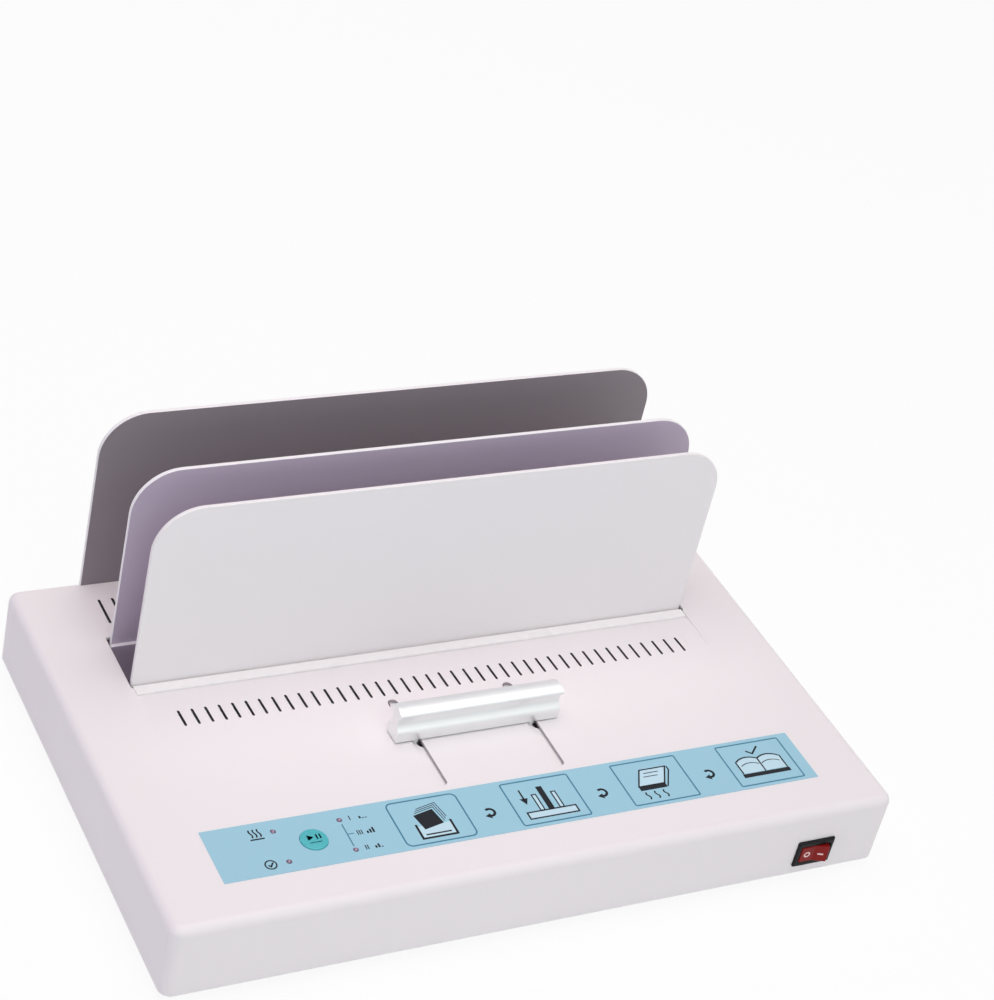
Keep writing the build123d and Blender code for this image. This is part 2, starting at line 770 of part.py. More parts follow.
with BuildPart() as mains_inlet:
    with BuildSketch(Plane.XZ.offset(-rear_wall_y)) as flange:
        with Locations((inlet_x, inlet_z)):
            Rectangle(48.0, 22.0)
        chamfer(flange.vertices(), 4.0)
    extrude(amount=-inlet_flange)
    chamfer(mains_inlet.edges().group_by(Axis.Y)[-1], 0.6)
    with BuildSketch(Plane.XZ.offset(-rear_wall_y)):
        with Locations((inlet_x, inlet_z)):
            Rectangle(
                inlet_opening_width - 2 * opening_clearance,
                inlet_opening_height - 2 * opening_clearance,
            )
    extrude(amount=inlet_depth)
    with BuildSketch(Plane.XZ.offset(-inlet_rear_y)) as socket:
        with Locations((inlet_x, inlet_z)):
            Rectangle(24.5, 17.0)
        chamfer(socket.vertices().group_by(Axis.Y)[-1], 4.0)
    extrude(amount=socket_depth, mode=Mode.SUBTRACT)
mains_inlet.part.label = "mains_inlet"
export_step(mains_inlet.part, "parts/mains_inlet.step")

inlet_body_y = rear_wall_y - inlet_depth
socket_floor_y = inlet_rear_y - socket_depth

with BuildPart() as inlet_pins:
    for x, z in ((-7.0, -2.0), (0.0, 2.0), (7.0, -2.0)):
        with Locations((inlet_x + x, socket_floor_y, inlet_z + z)):
            Box(2.0, socket_depth - 2.0, 4.0, align=(Align.CENTER, Align.MIN, Align.CENTER))
        with Locations((inlet_x + x, inlet_body_y, inlet_z + z)):
            Box(0.8, 8.0, 4.8, align=(Align.CENTER, Align.MAX, Align.CENTER))
    chamfer(inlet_pins.edges().group_by(Axis.Y)[-1], 0.6)
inlet_pins.part.label = "inlet_pins"
export_step(inlet_pins.part, "parts/inlet_pins.step")
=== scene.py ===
import json
import math

import bmesh
import bpy
from mathutils import Matrix, Vector


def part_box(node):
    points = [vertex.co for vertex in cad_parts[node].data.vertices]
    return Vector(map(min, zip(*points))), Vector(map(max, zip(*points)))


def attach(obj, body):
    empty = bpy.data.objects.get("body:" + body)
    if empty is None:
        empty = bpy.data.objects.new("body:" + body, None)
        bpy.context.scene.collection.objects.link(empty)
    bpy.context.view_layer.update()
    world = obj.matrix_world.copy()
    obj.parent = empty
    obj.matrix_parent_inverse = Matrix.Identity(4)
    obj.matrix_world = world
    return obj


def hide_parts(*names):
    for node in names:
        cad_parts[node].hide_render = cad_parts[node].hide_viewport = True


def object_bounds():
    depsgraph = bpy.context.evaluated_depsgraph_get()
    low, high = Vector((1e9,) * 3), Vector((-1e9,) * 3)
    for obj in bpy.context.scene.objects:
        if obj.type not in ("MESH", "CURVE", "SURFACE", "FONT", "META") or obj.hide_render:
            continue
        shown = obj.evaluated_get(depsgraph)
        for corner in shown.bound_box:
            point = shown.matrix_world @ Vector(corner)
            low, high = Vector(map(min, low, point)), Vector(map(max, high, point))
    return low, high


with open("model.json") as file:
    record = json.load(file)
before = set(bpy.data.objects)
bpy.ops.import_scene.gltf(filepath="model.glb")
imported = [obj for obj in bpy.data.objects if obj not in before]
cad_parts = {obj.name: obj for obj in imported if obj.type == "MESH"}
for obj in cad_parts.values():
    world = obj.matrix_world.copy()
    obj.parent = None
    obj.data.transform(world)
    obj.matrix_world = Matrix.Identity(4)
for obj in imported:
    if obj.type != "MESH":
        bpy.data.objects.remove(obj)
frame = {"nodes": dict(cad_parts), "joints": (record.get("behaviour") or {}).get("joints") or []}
cad_low, cad_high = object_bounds()

MM = 0.001


# ---- camera, light and floor ----
# The machine stands on a pale studio floor. A broad warm lamp hangs over it, a weaker cool one stands
# high in front, and a soft band of light comes from all round at table height. Under the housing the
# floor is left in its own shade, so that the vents look dark from above.
camera_data = bpy.data.cameras.new("camera")
camera_data.lens = 94.41
camera_data.sensor_width = 36.0
camera = bpy.data.objects.new("camera", camera_data)
camera.location = (-0.5702, -0.8560, 0.8675)
camera.rotation_euler = [math.radians(angle) for angle in (54.93858, -11.46863, -25.62418)]
bpy.context.scene.collection.objects.link(camera)
bpy.context.scene.camera = camera
bpy.context.scene.view_settings.view_transform = "Standard"

studio_lamps = (
    ("overhead_lamp", (-0.10, 0.0, 1.6), 1.8, 19.7, (1.0, 0.912, 0.935)),
    ("front_lamp", (-0.10, -1.15, 1.15), 0.9, 3.9, (0.85, 1.0, 1.0)),
)
for name, place, size, energy, colour in studio_lamps:
    lamp_data = bpy.data.lights.new(name, "AREA")
    lamp_data.shape = "DISK"
    lamp_data.size = size
    lamp_data.energy = energy
    lamp_data.color = colour
    lamp = bpy.data.objects.new(name, lamp_data)
    lamp.location = place
    lamp.rotation_euler = Vector(place).to_track_quat("Z", "Y").to_euler()
    bpy.context.scene.collection.objects.link(lamp)


def put(tree, socket, value):
    """Links another node's output to an input, or sets the input's plain value."""
    if isinstance(value, bpy.types.NodeSocket):
        tree.links.new(value, socket)
    else:
        socket.default_value = value


def settle(tree, made, **values):
    """Gives a node its settings and its inputs, each by its name."""
    for name, value in values.items():
        label = name.replace("_", " ")
        if label in made.inputs:
            put(tree, made.inputs[label], value)
        else:
            setattr(made, name, value)
    return made


def node(tree, kind, **values):
    """A new shader node with its settings and inputs."""
    return settle(tree, tree.nodes.new(kind), **values)


def maths(tree, operation, *values):
    """One step of arithmetic on plain numbers and other nodes' outputs."""
    made = node(tree, "ShaderNodeMath", operation=operation)
    for socket, value in zip(made.inputs, values):
        put(tree, socket, value)
    return made.outputs[0]


def span(tree, value, from_low, from_high, low=0.0, high=1.0, curve="SMOOTHSTEP"):
    """Carries the range from_low to from_high over to the range low to high."""
    made = node(
        tree,
        "ShaderNodeMapRange",
        interpolation_type=curve,
        Value=value,
        From_Min=from_low,
        From_Max=from_high,
        To_Min=low,
        To_Max=high,
    )
    return made.outputs["Result"]


def mix(tree, share, one, other, kind="RGBA"):
    """A blend of two colours, or of two numbers where kind is FLOAT."""
    made = node(tree, "ShaderNodeMix", data_type=kind, Factor=share, A=one, B=other)
    return made.outputs["Result"]


def axes(tree, output):
    """X, Y and Z of one of the texture coordinates."""
    place = node(tree, "ShaderNodeTexCoord").outputs[output]
    return node(tree, "ShaderNodeSeparateXYZ", Vector=place).outputs


def seen(tree):
    """1 for camera, glossy and transmission rays, 0 for the rays that light things."""
    rays = node(tree, "ShaderNodeLightPath").outputs
    direct = maths(tree, "MAXIMUM", rays["Is Camera Ray"], rays["Is Glossy Ray"])
    return maths(tree, "MAXIMUM", direct, rays["Is Transmission Ray"])


def show_white(tree, output, share, lit, white):
    """Shows the white shader by its share, and the lit one for the rest."""
    both = node(tree, "ShaderNodeMixShader")
    for socket, source in zip(both.inputs, (share, lit.outputs[0], white.outputs[0])):
        put(tree, socket, source)
    node(tree, output, Surface=both.outputs[0])


world = bpy.data.worlds.new("studio")
bpy.context.scene.world = world
world.use_nodes = True
sky = world.node_tree
sky.nodes.clear()
band_edge, band_full = 0.42, 0.16
sky_strength, band_strength = 0.16, 1.05
front_edge, front_full, front_gain = -0.45, -0.90, 0.12
left_edge, left_full = -0.35, -0.95
towards = axes(sky, "Generated")
height_light = span(sky, towards["Z"], band_edge, band_full, sky_strength, band_strength)
at_front = span(sky, towards["Y"], front_edge, front_full)
at_left = span(sky, towards["X"], left_edge, left_full)
front_colour = mix(sky, at_front, (1.0, 1.0, 0.995, 1), (0.950, 1.0, 1.005, 1))
sky_colour = mix(sky, at_left, front_colour, (0.80, 0.79, 1.06, 1))
front_light = maths(sky, "MULTIPLY_ADD", at_front, front_gain, 1.0)
sky_light = maths(sky, "MULTIPLY", height_light, front_light)
lighting = node(sky, "ShaderNodeBackground", Color=sky_colour, Strength=sky_light)
backdrop = node(sky, "ShaderNodeBackground", Color=(1, 1, 1, 1), Strength=1.0)
show_white(sky, "ShaderNodeOutputWorld", seen(sky), lighting, backdrop)

floor_reach = 6.0
white_share = 0.92
white_inset, dark_inset = 12.0 * MM, 22.0 * MM
floor_mesh = bpy.data.meshes.new("floor")
floor_corners = [(x, y, 0) for x, y in ((-1, -1), (1, -1), (1, 1), (-1, 1))]
floor_mesh.from_pydata([Vector(c) * floor_reach for c in floor_corners], [], [(0, 1, 2, 3)])
floor = bpy.data.objects.new("floor", floor_mesh)
bpy.context.scene.collection.objects.link(floor)
floor_paint = bpy.data.materials.new("floor_paint")
floor_paint.use_nodes = True
tree = floor_paint.node_tree
tree.nodes.clear()
floor_place = axes(tree, "Object")
outside = []
for axis, reach in (("X", cad_high.x), ("Y", cad_high.y)):
    spread = maths(tree, "ABSOLUTE", floor_place[axis])
    outside.append(span(tree, spread, reach - dark_inset, reach - white_inset))
open_floor = maths(tree, "MAXIMUM", *outside)
open_share = maths(tree, "MULTIPLY", maths(tree, "MULTIPLY", seen(tree), white_share), open_floor)
lit_floor = node(tree, "ShaderNodeBsdfDiffuse", Color=(0.93, 0.93, 0.93, 1))
white_floor = node(tree, "ShaderNodeEmission", Color=(1, 1, 1, 1), Strength=1.0)
show_white(tree, "ShaderNodeOutputMaterial", open_share, lit_floor, white_floor)
floor_mesh.materials.append(floor_paint)


# ---- top cover ----
# One shell of 1.5 mm sheet steel, folded, welded at the corners and powder coated in a light
# warm grey. The vents, slots and the trough are punched, and a seat is pressed before the trough.
cover_low, cover_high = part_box("top_cover")
top_z = cover_high.z
sheet = 1.5 * MM
sheet_under = top_z - sheet


def new_group(name, **inputs):
    """A shader group with inputs and their defaults, and with Colour, Roughness and Height out."""
    group = bpy.data.node_groups.new(name, "ShaderNodeTree")
    for label, default in inputs.items():
        kind = "Float" if isinstance(default, float) else {3: "Vector", 4: "Color"}[len(default)]
        label = label.replace("_", " ")
        socket = group.interface.new_socket(label, in_out="INPUT", socket_type="NodeSocket" + kind)
        socket.default_value = default
    for label, kind in (("Colour", "Color"), ("Roughness", "Float"), ("Height", "Float")):
        group.interface.new_socket(label, in_out="OUTPUT", socket_type="NodeSocket" + kind)
    return group, group.nodes.new("NodeGroupInput").outputs, group.nodes.new("NodeGroupOutput")


def noise(tree, vector, scale, detail=2.0):
    """A noise texture over a vector output."""
    return node(tree, "ShaderNodeTexNoise", Vector=vector, Scale=scale, Detail=detail).outputs["Fac"]


def noise_span(tree, value, low, high, noise_low=0.3, noise_high=0.7):
    """Carries a noise, which seldom leaves its middle, over to the range low to high."""
    return span(tree, value, noise_low, noise_high, low, high, "LINEAR")


# cured powder: a fine grain and a slow waviness, with faint hand marks in the gloss
coat_group, coat_in, coat_out = new_group(
    "cured_coat",
    Colour=(0.8, 0.8, 0.8, 1),
    Shade=(0.7, 0.7, 0.7, 1),
    Grain_Scale=1400.0,
    Low_Roughness=0.42,
    High_Roughness=0.55,
)
coat_place = node(coat_group, "ShaderNodeTexCoord").outputs["Object"]
coat_grain = noise(coat_group, coat_place, coat_in["Grain Scale"])
coat_wave = noise(coat_group, coat_place, 160.0)
coat_cloud = noise(coat_group, coat_place, 9.0, 3.0)
coat_thin = noise_span(coat_group, coat_cloud, 0.0, 0.35)
settle(
    coat_group,
    coat_out,
    Colour=mix(coat_group, coat_thin, coat_in["Colour"], coat_in["Shade"]),
    Roughness=noise_span(coat_group, coat_cloud, coat_in["Low Roughness"], coat_in["High Roughness"]),
    Height=maths(coat_group, "MULTIPLY_ADD", coat_grain, 0.6, coat_wave),
)


def surface(name, group, colours, gloss, depth, own, **extra):
    """A material whose Principled shader a shader group drives; own holds its plain values."""
    material = bpy.data.materials.new(name)
    material.use_nodes = True
    tree = material.node_tree
    source = node(
        tree,
        "ShaderNodeGroup",
        node_tree=group,
        Colour=colours[0],
        Shade=colours[1],
        Low_Roughness=gloss[0],
        High_Roughness=gloss[1],
        **extra,
    ).outputs
    bump = node(tree, "ShaderNodeBump", Distance=depth, Height=source["Height"])
    settle(
        tree,
        tree.nodes["Principled BSDF"],
        Base_Color=source["Colour"],
        Roughness=source["Roughness"],
        Normal=bump.outputs["Normal"],
        **own,
    )
    return material


def powder_coat(name, colour, shade, low=0.42, high=0.55):
    """Powder coat in one colour, a little darker where the coat is thin."""
    own = {"Specular_IOR_Level": 0.4}
    return surface(name, coat_group, (colour, shade), (low, high), 0.025 * MM, own)


cover_paint = powder_coat("cover_paint", (0.875, 0.835, 0.845, 1), (0.850, 0.812, 0.826, 1))


def arc(x, y, radius, start, end, steps):
    """Points along an arc between two angles in degrees."""
    turns = [math.radians(start + (end - start) * step / steps) for step in range(steps + 1)]
    return [(x + radius * math.cos(turn), y + radius * math.sin(turn)) for turn in turns]


def quarter(radius, steps):
    """Inset and drop along a quarter round, from its upright side up to its flat."""
    turns = [math.radians(90 * step / steps) for step in range(1, steps + 1)]
    return [(radius * (1 - math.cos(turn)), radius * (1 - math.sin(turn))) for turn in turns]


def rectangle(low_x, low_y, high_x, high_y):
    """The corners of a rectangle, anticlockwise."""
    return [(low_x, low_y), (high_x, low_y), (high_x, high_y), (low_x, high_y)]


def rounded_rectangle(low_x, low_y, high_x, high_y, radius, steps=8):
    """The outline of a rectangle with round corners, anticlockwise."""
    left, right = low_x + radius, high_x - radius
    front, back = low_y + radius, high_y - radius
    points = []
    for x, y, start in ((right, back, 0), (left, back, 90), (left, front, 180), (right, front, 270)):
        points += arc(x, y, radius, start, start + 90, steps)
    return points


def join_rings(bm, rings):
    """Walls between successive rings that have the same number of points."""
    faces = []
    for lower, upper in zip(rings, rings[1:]):
        for index in range(len(lower)):
            after = (index + 1) % len(lower)
            faces.append(bm.faces.new((lower[index], lower[after], upper[after], upper[index])))
    return faces


def close_rings(bm, rings):
    """A closed solid: walls between the rings and a flat on the first and the last."""
    faces = [bm.faces.new(rings[0]), bm.faces.new(rings[-1])] + join_rings(bm, rings)
    bmesh.ops.recalc_face_normals(bm, faces=faces)


def prism(bm, points, low, high, axis="z"):
    """A closed solid: a flat outline swept along an axis from low to high."""
    place = {
        "x": lambda a, b, level: (level, a, b),
        "y": lambda a, b, level: (a, level, b),
        "z": lambda a, b, level: (a, b, level),
    }[axis]
    close_rings(bm, [[bm.verts.new(place(a, b, level)) for a, b in points] for level in (low, high)])


def block(bm, centre, size):
    """A plain rectangular solid with its centre and size."""
    (x, y, z), (a, b, c) = centre, size
    prism(bm, rectangle(x - a / 2, y - b / 2, x + a / 2, y + b / 2), z - c / 2, z + c / 2)


sharp_angle = math.radians(38)


def as_object(bm, name, material=None):
    """A mesh object with smooth shading that breaks at hard edges."""
    mesh = bpy.data.meshes.new(name)
    bm.to_mesh(mesh)
    bm.free()
    mesh.polygons.foreach_set("use_smooth", [True] * len(mesh.polygons))
    mesh.set_sharp_from_angle(angle=sharp_angle)
    if material:
        mesh.materials.append(material)
    made = bpy.data.objects.new(name, mesh)
    bpy.context.scene.collection.objects.link(made)
    return made


def cut(target, bm, operation="DIFFERENCE"):
    """Cuts a solid out of a piece, or adds it, and keeps the result as the piece's mesh."""
    tool = as_object(bm, "tool")
    change = target.modifiers.new("cut", "BOOLEAN")
    change.operation = operation
    change.solver = "EXACT"
    change.object = tool
    bpy.context.view_layer.update()
    evaluated = target.evaluated_get(bpy.context.evaluated_depsgraph_get())
    result = bpy.data.meshes.new_from_object(evaluated)
    target.modifiers.clear()
    target.data = result
    bpy.data.objects.remove(tool)


def soften(target, width, segments=3, angle=40):
    """Breaks the piece's hard edges with a small round and keeps its flats flat."""
    target.data.polygons.foreach_set("use_smooth", [True] * len(target.data.polygons))
    edge = target.modifiers.new("edge", "BEVEL")
    edge.width = width
    edge.segments = segments
    edge.limit_method = "ANGLE"
    edge.angle_limit = math.radians(angle)
    edge.miter_outer = "MITER_ARC"
    flats = target.modifiers.new("flats", "WEIGHTED_NORMAL")
    flats.keep_sharp = True


def fit(target, body, slot, *nodes):
    """Fixes a piece to its body and hides the CAD nodes that it stands for; slot is not used."""
    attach(target, body)
    if nodes:
        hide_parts(*nodes)


plan_radius = 6.0 * MM
least_radius = 0.4 * MM
fold_radius = 5.0 * MM
fold_steps = 8
lip_width = 12.0 * MM
shell = bmesh.new()


def shell_ring(inset, z):
    """One level of the shell: the plan outline moved in by inset, with its corners following."""
    radius = max(plan_radius - inset, least_radius)
    outline = rounded_rectangle(
        cover_low.x + inset, cover_low.y + inset, cover_high.x - inset, cover_high.y - inset, radius
    )
    return [shell.verts.new((x, y, z)) for x, y in outline]


outer_levels = [(0, cover_low.z), (0, top_z - fold_radius)]
outer_levels += [(inset, top_z - drop) for inset, drop in quarter(fold_radius, fold_steps)]
inner_levels = [(lip_width, cover_low.z), (lip_width, cover_low.z + sheet)]
inner_levels += [(sheet, cover_low.z + sheet), (sheet, top_z - fold_radius)]
for inset, drop in quarter(fold_radius - sheet, fold_steps):
    inner_levels.append((sheet + inset, sheet_under - drop))
outer_rings = [shell_ring(inset, z) for inset, z in outer_levels]
inner_rings = [shell_ring(inset, z) for inset, z in inner_levels]
shell.faces.new(outer_rings[-1])
shell.faces.new(inner_rings[-1])
for rings in (outer_rings, inner_rings, [outer_rings[0], inner_rings[0]]):
    join_rings(shell, rings)
bmesh.ops.recalc_face_normals(shell, faces=shell.faces)
cover = as_object(shell, "cover_shell", cover_paint)

# the pressed seat: metal below the dip is added, then the dip is taken away
plate_low, plate_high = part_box("front_plate")
strip_low, strip_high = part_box("foot_strip")
seat_front = 6.5 * MM
seat_depth = 1.5 * MM
seat_half = plate_high.x
trough_front = plate_low.y - 3.2 * MM
trough_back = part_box("moving_plate")[1].y + 3.1 * MM
overlap = 0.6 * MM
seat_lap = 0.05 * MM
under_seat = [
    (seat_front, sheet_under + overlap),
    (trough_front, sheet_under + overlap),
    (trough_front, sheet_under - seat_depth),
    (strip_low.y, sheet_under - seat_depth),
    (seat_front, sheet_under - seat_lap),
]
above_seat = [
    (seat_front, top_z),
    (strip_low.y, top_z - seat_depth),
    (trough_front + overlap, top_z - seat_depth),
    (trough_front + overlap, top_z + overlap),
    (seat_front, top_z + overlap),
]
seat_cuts = ((under_seat, seat_half + sheet, "UNION"), (above_seat, seat_half, "DIFFERENCE"))
for outline, half, operation in seat_cuts:
    bm = bmesh.new()
    prism(bm, outline, -half, half, "x")
    cut(cover, bm, operation)


def obround(x, y, width, length, steps=6):
    """A slot outline with round ends, its length along Y."""
    radius, reach = width / 2, (length - width) / 2
    return arc(x, y + reach, radius, 0, 180, steps) + arc(x, y - reach, radius, 180, 360, steps)


def circle(x, y, radius, steps=32):
    """A round outline."""
    return arc(x, y, radius, 0, 360, steps)[:-1]


def four_places(low, high, radius):
    """The centres of four like round pieces at the corners of a box."""
    xs, ys = (low.x + radius, high.x - radius), (low.y + radius, high.y - radius)
    return [(x, y) for x in xs for y in ys]


# vents, handle slots, trough, rear plate's slot, key and lamps
vent_pitch = 7.0 * MM
vent_width = 1.4 * MM
vent_counts = (41, 44)
vent_rows = ((11.8 * MM, 12.0 * MM), (96.4 * MM, 19.0 * MM))
slot_xs = (-33.1 * MM, 31.1 * MM)
slot_width = 5.4 * MM
slot_front, slot_back = -61.5 * MM, 2.6 * MM
rear_low, rear_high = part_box("rear_plate")
rear_gap = 0.2 * MM
key_low, key_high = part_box("start_button")
label_low, label_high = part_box("control_label")
key_centre = ((key_low.x + key_high.x) / 2, (label_low.y + label_high.y) / 2)
key_radius = 6.75 * MM
key_gap = 0.15 * MM
lamp_low, lamp_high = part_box("status_lamps")
lamp_radius = 1.25 * MM
lamp_gap = 0.25 * MM
lamp_points = four_places(lamp_low, lamp_high, lamp_radius)
trough_half = seat_half + 1.0 * MM
trough_corner = 0.8 * MM
punch_low = sheet_under - 4.0 * MM
punch_high = top_z + 2.0 * MM
punches = []
for count, (y, length) in zip(vent_counts, vent_rows):
    for index in range(count):
        punches.append(obround((index - (count - 1) / 2) * vent_pitch, y, vent_width, length))
for x in slot_xs:
    punches.append(obround(x, (slot_front + slot_back) / 2, slot_width, slot_back - slot_front, 12))
punches.append(
    rounded_rectangle(-trough_half, trough_front, trough_half, trough_back, trough_corner, 4)
)
punches.append(
    rounded_rectangle(
        rear_low.x - rear_gap,
        rear_low.y - rear_gap,
        rear_high.x + rear_gap,
        rear_high.y + rear_gap,
        rear_gap,
        2,
    )
)
punches.append(circle(*key_centre, key_radius + key_gap, 48))
punches += [circle(x, y, lamp_radius + lamp_gap) for x, y in lamp_points]
bm = bmesh.new()
for outline in punches:
    prism(bm, outline, punch_low, punch_high)
cut(cover, bm)

# openings of the switch at the front and the inlet at the back, each with its width and height
switch_low, switch_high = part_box("switch_body")
switch_x = (switch_low.x + switch_high.x) / 2
switch_z = (switch_low.z + switch_high.z) / 2
inlet_low, inlet_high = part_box("mains_inlet")
inlet_x = (inlet_low.x + inlet_high.x) / 2
inlet_z = (inlet_low.z + inlet_high.z) / 2
switch_opening = (19.2 * MM, 13.2 * MM)
inlet_opening = (27.4 * MM, 20.4 * MM)
opening_depth = 6.0 * MM
side_openings = (
    ((switch_x, cover_low.y, switch_z), switch_opening),
    ((inlet_x, cover_high.y, inlet_z), inlet_opening),
)
bm = bmesh.new()
for centre, (width, height) in side_openings:
    block(bm, centre, (width, opening_depth, height))
cut(cover, bm)

# painted shade: the walls of the vents are painted near black and those of the slots darker grey, for the
# shade inside them
vent_shade = powder_coat("vent_painted_shade", (0.150, 0.135, 0.140, 1), (0.105, 0.092, 0.098, 1), 0.5, 0.7)
slot_painted_shade = powder_coat("slot_painted_shade", (0.520, 0.465, 0.500, 1), (0.470, 0.420, 0.455, 1), 0.5, 0.7)
cover.data.materials.append(vent_shade)
cover.data.materials.append(slot_painted_shade)
for face in cover.data.polygons:
    x, y, z = face.center
    if abs(face.normal.z) >= 0.5 or z <= sheet_under - sheet:
        continue
    if abs(x) < seat_half - sheet and any(abs(y - row_y) <= length / 2 for row_y, length in vent_rows):
        face.material_index = 1
    along_slot = slot_front - sheet < y < slot_back + sheet
    if along_slot and any(abs(x - slot_x) < slot_width for slot_x in slot_xs):
        face.material_index = 2
soften(cover, 0.22 * MM, 2)
fit(cover, "housing", "cover_paint", "top_cover")


# ---- upright plates ----
# Three plates of the same 2.2 mm steel sheet with large round corners. The front one is coated like
# the cover. The jaw's and the rear one carry painted shade: their faces to the front are darker grey
# for the shade that falls between the plates, while their rims and backs keep the light coat.
plate_paint = powder_coat("plate_paint", (0.885, 0.855, 0.860, 1), (0.865, 0.838, 0.844, 1))
plate_corner = 24.0 * MM
plate_edge = 0.4 * MM
shade_edge, shade_full = -0.80, -0.97


def painted_shade_coat(name, colour, shade):
    """Painted shade: darker grey on the faces to the front, over the light coat that shows on rims and
    backs.
    """
    material = powder_coat(name, colour, shade)
    tree = material.node_tree
    base_colour = tree.nodes["Principled BSDF"].inputs["Base Color"]
    grey = base_colour.links[0].from_socket
    to_front = span(tree, axes(tree, "Normal")["Y"], shade_edge, shade_full)
    put(tree, base_colour, mix(tree, to_front, (0.90, 0.88, 0.89, 1), grey))
    return material


# painted shade: each plate's front faces are given the darkness of the shade that falls on them
jaw_painted_shade = painted_shade_coat("jaw_painted_shade", (0.545, 0.472, 0.585, 1), (0.505, 0.432, 0.545, 1))
rear_painted_shade = painted_shade_coat("rear_painted_shade", (0.272, 0.238, 0.260, 1), (0.248, 0.216, 0.238, 1))


def upright_plate(name, cad_node, body, coat, slot):
    """A sheet with its two top corners rounded and its rim broken."""
    low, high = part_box(cad_node)
    corner_z = high.z - plate_corner
    outline = [(low.x, low.z), (high.x, low.z)]
    outline += arc(high.x - plate_corner, corner_z, plate_corner, 0, 90, 24)
    outline += arc(low.x + plate_corner, corner_z, plate_corner, 90, 180, 24)
    bm = bmesh.new()
    prism(bm, outline, low.y, high.y, "y")
    plate = as_object(bm, name, coat)
    soften(plate, plate_edge)
    fit(plate, body, slot, cad_node)


upright_plate("front_upright", "front_plate", "housing", plate_paint, "plate_paint")
upright_plate("moving_upright", "moving_plate", "jaw", jaw_painted_shade, "rack_paint")
upright_plate("rear_upright", "rear_plate", "housing", rear_painted_shade, "rack_paint")


# ---- foot strip ----
# A strip of sheet steel bent over a rounded edge. It lies in the pressed seat and goes down
# against the front plate, which is spot welded to it below the cover.
# painted highlight: the strip's coat is lighter than the cover's, for the light that catches its bend and
# top
strip_painted_light = powder_coat("strip_painted_light", (0.945, 0.925, 0.918, 1), (0.925, 0.905, 0.900, 1), 0.26, 0.36)
strip_sheet = 1.5 * MM
bend_radius = 3.0 * MM
bend_y, bend_z = strip_high.y - bend_radius, strip_high.z - bend_radius
strip_outline = [(strip_low.y, strip_high.z - strip_sheet), (strip_low.y, strip_high.z)]
strip_outline += arc(bend_y, bend_z, bend_radius, 90, 0, 8)
strip_outline += [(strip_high.y, strip_low.z), (strip_high.y - strip_sheet, strip_low.z)]
strip_outline += arc(bend_y, bend_z, bend_radius - strip_sheet, 0, 90, 8)
bm = bmesh.new()
prism(bm, strip_outline, strip_low.x, strip_high.x, "x")
strip = as_object(bm, "foot_strip_fold", strip_painted_light)
soften(strip, 0.3 * MM)
fit(strip, "housing", "plate_paint", "foot_strip")


# ---- jaw wall ----
# The folded sheet that sweeps over the heating plate. Its top edge is level with the cover, and its
# two ends turn forward to meet the slide arms. Like the moving plate, its face to the front carries
# painted shade in darker grey.
wall_low, wall_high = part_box("jaw_bracket")
wall_sheet = 2.2 * MM
wall_half = 156.2 * MM
wall_corner = 1.0 * MM
ear_sheet = 1.6 * MM
ear_low, ear_high = 27.0 * MM, 38.0 * MM
ear_lap = 4.0 * MM
ear_bend = 2.0 * MM
bm = bmesh.new()
wall_outline = rounded_rectangle(-wall_half, wall_low.z, wall_half, wall_high.z, wall_corner, 4)
prism(bm, wall_outline, wall_high.y - wall_sheet, wall_high.y, "y")
wall = as_object(bm, "jaw_wall", jaw_painted_shade)
ear_inner, ear_inside = wall_high.x - ear_sheet, wall_high.y - ear_sheet
ear_outline = [
    (wall_half - ear_lap, wall_high.y),
    (wall_half - ear_lap, ear_inside),
    (ear_inner, ear_inside),
    (ear_inner, wall_low.y),
    (wall_high.x, wall_low.y),
    (wall_high.x, wall_high.y - ear_bend),
]
ear_outline += [(wall_high.x - inset, wall_high.y - drop) for inset, drop in quarter(ear_bend, 4)]
for side in (-1, 1):
    bm = bmesh.new()
    prism(bm, [(side * x, y) for x, y in ear_outline], ear_low, ear_high)
    cut(wall, bm, "UNION")
soften(wall, 0.35 * MM)
fit(wall, "jaw", "rack_paint", "jaw_bracket")


# ---- slide arms, carriage and brackets ----
# Pressed from zinc-plated steel sheet. The arms join the jaw wall to the carriage plate below the
# cover, and the other brackets hold the rods, the heater and the foot of the rear plate.
grain_group, grain_in, grain_out = new_group(
    "drawn_grain",
    Colour=(0.6, 0.6, 0.6, 1),
    Shade=(0.5, 0.5, 0.5, 1),
    Stretch=(8.0, 900.0, 900.0),
    Cloud=0.5,
    Low_Roughness=0.25,
    High_Roughness=0.42,
)
grain_place = node(grain_group, "ShaderNodeTexCoord").outputs["Object"]
grain_run = node(grain_group, "ShaderNodeMapping", Vector=grain_place, Scale=grain_in["Stretch"])
grain_lines = noise(grain_group, grain_run.outputs["Vector"], 1.0, 3.0)
grain_cloud = noise(grain_group, grain_place, 45.0, 3.0)
grain_sum = mix(grain_group, grain_in["Cloud"], grain_lines, grain_cloud, "FLOAT")
grain_share = noise_span(grain_group, grain_sum, 0.0, 1.0)
settle(
    grain_group,
    grain_out,
    Colour=mix(grain_group, grain_share, grain_in["Colour"], grain_in["Shade"]),
    Roughness=noise_span(grain_group, grain_sum, grain_in["Low Roughness"], grain_in["High Roughness"]),
    Height=grain_lines,
)


def drawn_metal(name, colour, shade, stretch, low, high, depth=0.008 * MM, cloud=0.5, metal=1.0):
    """Bare or plated metal with a grain that runs the way it was rolled or drawn."""
    looks = {"Stretch": stretch, "Cloud": cloud}
    own = {"Metallic": metal}
    return surface(name, grain_group, (colour, shade), (low, high), depth, own, **looks)


